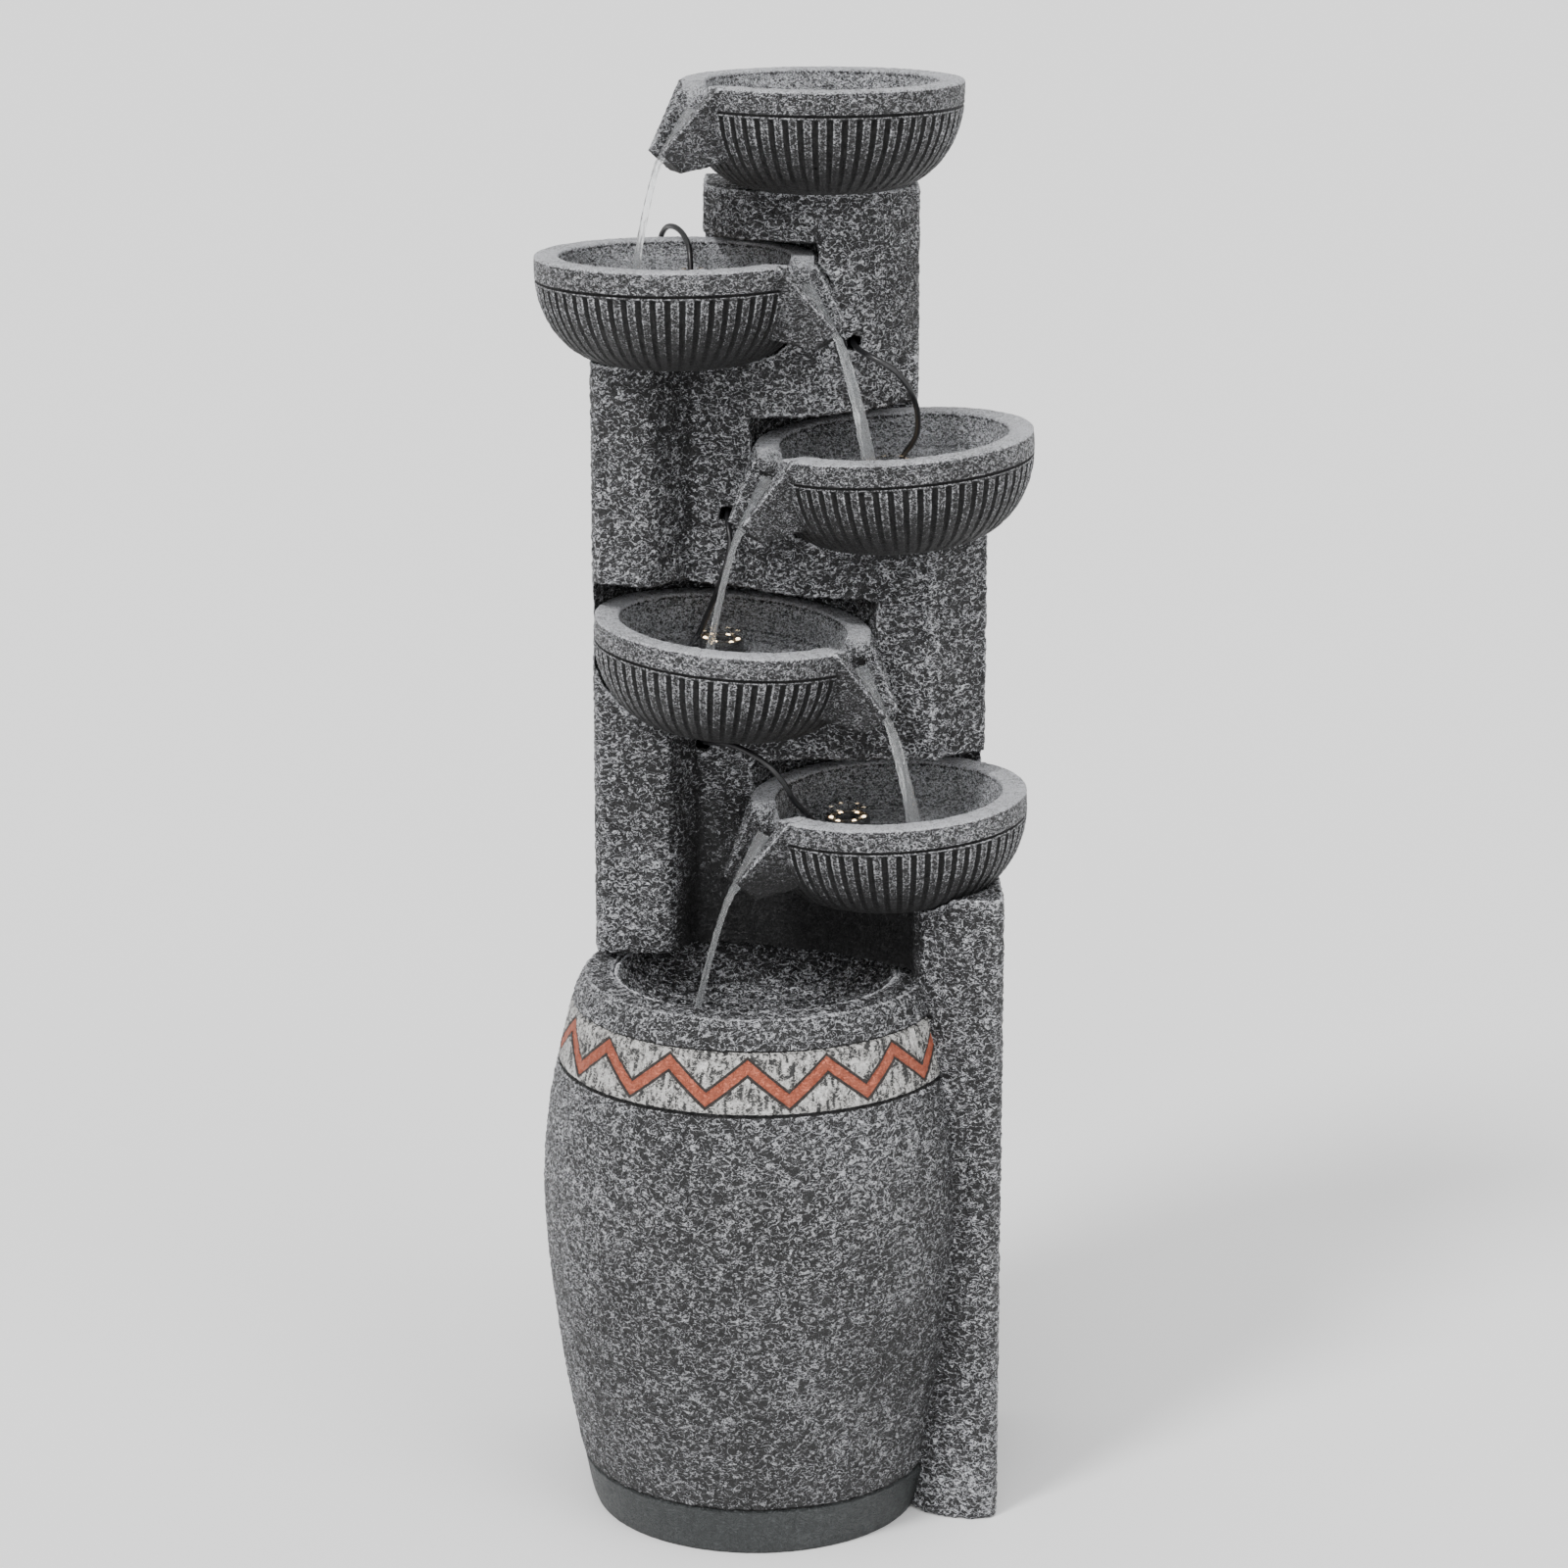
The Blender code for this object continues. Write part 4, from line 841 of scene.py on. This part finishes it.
def make_light(number):
    """A submersible ring light: moulded ring, potted board and its glowing domes."""
    bowl = f"bowl_{number}"
    base = plane_point(bowl, *LIGHTS[number], BOWL_FLOOR - 0.0003)
    place = Matrix.Translation(base) @ bowl_matrix(bowl).to_3x3().to_4x4()
    top, lip = LED_H, 0.0007
    ring = [(LED_R, 0.0), (LED_R, top - 0.0016), (LED_R - 0.0004, top - 0.0006), (LED_R - 0.0013, top),
            (0.0142, top), (0.0140, top - lip), (0.0139, top - 0.0020), (0.0091, top - 0.0020),
            (0.0090, top - lip),
            (0.0088, top), (LED_HOLE_R + 0.0010, top), (LED_HOLE_R + 0.0002, top - 0.0008), (LED_HOLE_R, 0.0),
            (LED_R, 0.0)]
    body = revolved(ring, 64)
    body.transform(place)
    settle(new_object(f"led_{number}_ring", body, MATERIALS["black_plastic"]), ROOT, "black_plastic",
           f"led_ring_{number}")
    board = revolved([(0.0138, top - 0.0019), (0.0138, top - 0.0009), (0.0115, top - 0.0007),
                      (0.0092, top - 0.0009),
                      (0.0092, top - 0.0019), (0.0138, top - 0.0019)], 48)
    board.transform(place)
    settle(new_object(f"led_{number}_board", board, MATERIALS["potting"]), ROOT, "led_lens")
    domes = []
    for i in range(LED_COUNT):
        turn = 2 * math.pi * (i + 0.5) / LED_COUNT
        domes.append(dome(0.0016, 0.0011, (0.0115 * math.cos(turn), 0.0115 * math.sin(turn), top - 0.0008)))
    lens = joined(f"led_{number}_domes", domes, MATERIALS["led_lens"])
    lens.data.transform(place)
    settle(lens, ROOT, "led_lens", f"led_lens_{number}")


def lead_routes():
    """Route points of each light's lead, from the junction to the side of its ring."""
    routes = {
        "2": [(0.038, 0.116, 0.2904), (0.038, 0.116, 0.303), (0.020, 0.108, 0.320), (-0.012, 0.108, 0.346),
              (-0.034, 0.119, 0.386), (-0.044, 0.1250, 0.430), (-0.046, 0.1255, 0.540),
              (-0.052, 0.1255, 0.660),
              (-0.062, 0.1260, 0.750), (-0.066, 0.1290, 0.800), (-0.067, 0.1325, 0.834),
              (-0.067, 0.1368, 0.862),
              (-0.066, 0.1370, 0.8800), (-0.062, 0.1310, 0.8890), (-0.0565, 0.118, 0.8917),
              (-0.051, 0.108, 0.8895), (-0.047, 0.098, 0.8845), (-0.0445, 0.088, 0.8765)],
        "3": [(0.066, 0.116, 0.2904), (0.066, 0.116, 0.308), (0.058, 0.118, 0.350), (0.040, 0.1240, 0.400),
              (0.034, 0.1255, 0.500), (0.033, 0.1255, 0.640), (0.033, 0.1250, 0.740), (0.034, 0.1250, 0.785),
              (0.042, 0.1220, 0.808), (0.056, 0.107, 0.817), (0.065, 0.085, 0.822), (0.067, 0.055, 0.8240),
              (0.0673, 0.022, 0.8235), (0.074, 0.002, 0.8207), (0.082, -0.006, 0.8177),
              (0.095, -0.010, 0.8097),
              (0.105, -0.006, 0.7958), (0.1097, 0.004, 0.7808), (0.1104, 0.020, 0.7646),
              (0.107, 0.034, 0.7530),
              (0.101, 0.040, 0.7430)],
        "4": [(0.048, 0.116, 0.2904), (0.048, 0.116, 0.305), (0.040, 0.106, 0.326), (0.008, 0.099, 0.344),
              (-0.012, 0.107, 0.374), (-0.024, 0.1235, 0.418), (-0.026, 0.1255, 0.520),
              (-0.026, 0.1255, 0.650),
              (-0.026, 0.116, 0.690), (-0.021, 0.090, 0.702), (-0.019, 0.062, 0.7035),
              (-0.019, 0.040, 0.7020),
              (-0.0185, 0.029, 0.6975), (-0.017, 0.023, 0.6870), (-0.020, 0.022, 0.6720),
              (-0.0255, 0.028, 0.6540), (-0.0330, 0.041, 0.6330), (-0.0400, 0.049, 0.6160)],
        "5": [(0.057, 0.116, 0.2904), (0.057, 0.115, 0.306), (0.050, 0.100, 0.334), (0.020, 0.088, 0.345),
              (-0.012, 0.086, 0.364), (-0.030, 0.098, 0.402), (-0.036, 0.106, 0.470), (-0.036, 0.095, 0.525),
              (-0.036, 0.072, 0.5405), (-0.036, 0.048, 0.5425), (-0.034, 0.030, 0.5446),
              (-0.0175, 0.012, 0.547),
              (-0.004, 0.000, 0.5444), (0.0095, -0.006, 0.5362), (0.0196, -0.006, 0.5240),
              (0.0260, -0.004, 0.5120), (0.0350, 0.004, 0.5000)],
    }
    moved = {}
    for number, points in routes.items():
        bowl = f"bowl_{number}"
        points = [JAR_AXIS + Vector(p) for p in points]
        turn = bowl_matrix(bowl).to_3x3()
        centre = plane_point(bowl, *LIGHTS[number], BOWL_FLOOR - 0.0045)
        side = turn.inverted() @ (points[-1] - centre)
        side.z = 0.0
        side = turn @ side.normalized()
        moved[number] = points + [centre + side * (LED_R + 0.007), centre + side * (LED_R + 0.0018)]
    return moved


def make_leads():
    """The lights' leads, as round tubes on their routes."""
    for number, route in lead_routes().items():
        points = smooth_route(route, 0.005)
        curve = bpy.data.curves.new(f"lead_{number}", "CURVE")
        curve.dimensions = "3D"
        curve.bevel_depth = LEAD_R
        curve.bevel_resolution = 4
        curve.use_fill_caps = True
        spline = curve.splines.new("POLY")
        spline.points.add(len(points) - 1)
        for target, point in zip(spline.points, points):
            target.co = (*point, 1.0)
        curve.materials.append(MATERIALS["lead_jacket"])
        lead = bpy.data.objects.new(f"light_lead_{number}", curve)
        bpy.context.scene.collection.objects.link(lead)
        settle(lead, ROOT, "lead_jacket", f"led_lead_{number}")


# ---- water -----------------------------------------------------------------------------------
def stream_start(name):
    """Where the water leaves a bowl's spout, and the way it is heading."""
    m = bowl_matrix(name)
    start = m @ Vector((SPOUT_TIP - 0.004, 0.0, -SPOUT_DROP - 0.006))
    heading = m.to_3x3() @ Vector((1, 0, 0))
    heading.z = 0
    return start, heading.normalized()


def landing(name):
    """Where a bowl's stream meets the water below."""
    start, heading = stream_start(name)
    order = list(BOWLS)
    below = order[order.index(name) + 1] if name != order[-1] else None
    level = JAR_AXIS.z + BOWLS[below][2] - WATER_DEPTH if below else 0.3600
    return Vector((*(start + heading * STREAM_REACH[name]).to_2d(), level))


def make_stream(name):
    """A stream from a bowl's spout: a flat sheet that narrows and twists into a rope."""
    start, heading = stream_start(name)
    end = landing(name)
    fall = start.z - end.z
    rows, sides = 90, 28
    across = Vector((-heading.y, heading.x, 0))
    points = []
    top = bowl_matrix(name) @ Vector((0.094, 0.0, -0.0165))
    for i in range(rows + 1):
        t = i / rows
        if t < 0.22:
            k = t / 0.22
            centre, wide, thick = top.lerp(start, k), 0.0125 - 0.0070 * k, 0.0016
        else:
            k = (t - 0.22) / 0.78
            centre = start + heading * STREAM_REACH[name] * k - Vector((0, 0, fall * k ** 1.35))
            wide, thick = 0.0055 - 0.0020 * math.sin(k * 2.6), 0.0016 + 0.0007 * math.sin(k * 3.1)
        turn = 1.1 * k if t >= 0.22 else 0.0
        side = across * math.cos(turn) + heading * math.sin(turn)
        out = side.cross(Vector((0, 0, 1)))
        for j in range(sides):
            a = 2 * math.pi * j / sides
            ripple = 1 + 0.20 * math.sin(4 * a + 9 * t) + 0.14 * math.sin(7 * a - 17 * t) * math.sin(31 * t)
            sideways, outward = wide * math.cos(a) * ripple, thick * math.sin(a) * ripple
            points.append(centre + side * sideways + out * outward)
    faces = [(i * sides + j, i * sides + (j + 1) % sides, (i + 1) * sides + (j + 1) % sides,
              (i + 1) * sides + j)
             for i in range(rows) for j in range(sides)]
    faces += [tuple(reversed(range(sides))), tuple(rows * sides + j for j in range(sides))]
    mesh = bpy.data.meshes.new(f"water_stream_{name}")
    mesh.from_pydata([tuple(p) for p in points], [], faces)
    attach(new_object(f"water_stream_{name}", mesh, MATERIALS["stream"]), ROOT)


def make_pool(name, centre, radius, hit):
    """A pool's surface with rings round the place where a stream lands."""
    rings, sides = 46, 120
    points, faces = [], []
    for i in range(rings + 1):
        for j in range(sides):
            a = 2 * math.pi * j / sides
            p = centre + Vector((math.cos(a), math.sin(a), 0)) * (radius * i / rings)
            away = (p - hit).to_2d().length
            p.z += 0.0007 * math.cos(away / 0.0013) * math.exp(-away / 0.014)
            points.append(p)
    for i in range(rings):
        for j in range(sides):
            k = (j + 1) % sides
            faces.append((i * sides + j, (i + 1) * sides + j, (i + 1) * sides + k, i * sides + k))
    count = len(points)
    points += [p - Vector((0, 0, 0.0012)) for p in points]
    faces += [tuple(v + count for v in reversed(face)) for face in faces]
    for j in range(sides):
        a, b = rings * sides + j, rings * sides + (j + 1) % sides
        faces.append((a, a + count, b + count, b))
    mesh = bpy.data.meshes.new(name)
    mesh.from_pydata([tuple(p) for p in points], [], faces)
    bm = bmesh.new()
    bm.from_mesh(mesh)
    bmesh.ops.remove_doubles(bm, verts=bm.verts, dist=0.000001)
    bm.to_mesh(mesh)
    bm.free()
    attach(new_object(name, mesh, MATERIALS["pool"]), ROOT)


def make_water():
    """Pools and streams of the running fountain."""
    previous = None
    for name, (x, y, z, _, _) in BOWLS.items():
        centre = JAR_AXIS + Vector((x, y, z - WATER_DEPTH))
        hit = landing(previous) if previous else centre + Vector((0.014, 0.011, 0))
        make_pool(f"water_pool_{name}", centre, 0.0772, hit)
        make_stream(name)
        previous = name


# ---- the rest --------------------------------------------------------------------------------
def dress_cad_nodes():
    """Materials and soft edges for the CAD nodes that show as they are."""
    for entry in frame["record"]["subparts"]:
        node = frame["nodes"][entry["node"]]
        if node.hide_render:
            continue
        slot_name = entry["material_slot"]
        node.data.materials.clear()
        node.data.materials.append(MATERIALS[slot_name])
        bevel = node.modifiers.new("soft edges", "BEVEL")
        bevel.width, bevel.segments, bevel.limit_method = 0.0003, 2, "ANGLE"
        bevel.harden_normals = False


def make_surroundings():
    """Pale floor, even white surroundings and soft lamps."""
    mesh = bpy.data.meshes.new("floor")
    mesh.from_pydata([(-40, -40, -0.0002), (40, -40, -0.0002), (40, 40, -0.0002), (-40, 40, -0.0002)], [],
                     [(0, 1, 2, 3)])
    floor = new_object("floor", mesh, MATERIALS["floor"])
    world = bpy.data.worlds.new("studio")
    bpy.context.scene.world = world
    world.use_nodes = True
    background = world.node_tree.nodes["Background"]
    background.inputs["Color"].default_value = (1.0, 1.0, 1.0, 1.0)
    background.inputs["Strength"].default_value = 0.72
    lamps = {"key": ((44, 0, -42), 2.4, 14), "fill": ((55, 0, 42), 0.8, 35), "top": ((10, 0, 20), 0.8, 30),
             "front": ((72, 0, -6), 1.0, 40)}
    for name, (turn, power, spread) in lamps.items():
        data = bpy.data.lights.new(name, "SUN")
        data.energy, data.angle = power, math.radians(spread)
        lamp = bpy.data.objects.new(name, data)
        lamp.rotation_euler = [math.radians(a) for a in turn]
        bpy.context.scene.collection.objects.link(lamp)


def plain_floor():
    """Matt pale floor."""
    s = Shader("floor_matt", Roughness=0.9)
    s.colour(s.ramp(s.noise(3.0), [(0.3, (0.94, 0.94, 0.94)), (0.7, (0.94, 0.94, 0.94))]))
    return s.material


MATERIALS = {
    "tower_resin": resin("resin_tower", 1.05, 175.0),
    "bowl_resin": resin("resin_bowl", 1.15, 270.0),
    "jar_resin": resin("resin_jar", 0.90, 175.0, painted=True),
    # Painted light: the dish's resin is a lighter copy, 1.4 against the tower's 1.05, in the shaded jar
    # mouth.
    "dish_resin": resin("resin_dish", 1.4, 190.0, wet=0.5),
    "door_resin": resin("resin_door", 1.05, 175.0),
    "black_plastic": moulded_plastic("plastic_black"),
    "black_rubber": rubber(),
    "black_foam": foam(),
    "lead_jacket": lead_jacket(),
    "led_lens": glowing(),
    "pump_ceramic": ceramic(),
    "ferrite": ferrite(),
    "stainless": stainless(),
    "vinyl": vinyl(),
    "potting": potting(),
    "pool": water("water_pool", 0.10, 45.0),
    "stream": water("water_stream", 0.62, 200.0, 0.90, (1, 1, 0.14)),
    "floor": plain_floor(),
}

make_camera()
make_leads()
make_bowls()
make_jar()
make_casting("tower_shell", ROOT, 0.0022, 0.0056, 0.0016, "tower_resin")
make_casting("basin_dish", ROOT, 0.0014, 0.0046, 0.0010, "dish_resin", 1)
make_casting("rear_door", "door", 0.0014, 0.0050, 0.0005, "door_resin", 1)
for light in LIGHTS:
    make_light(light)
make_water()
dress_cad_nodes()
make_surroundings()
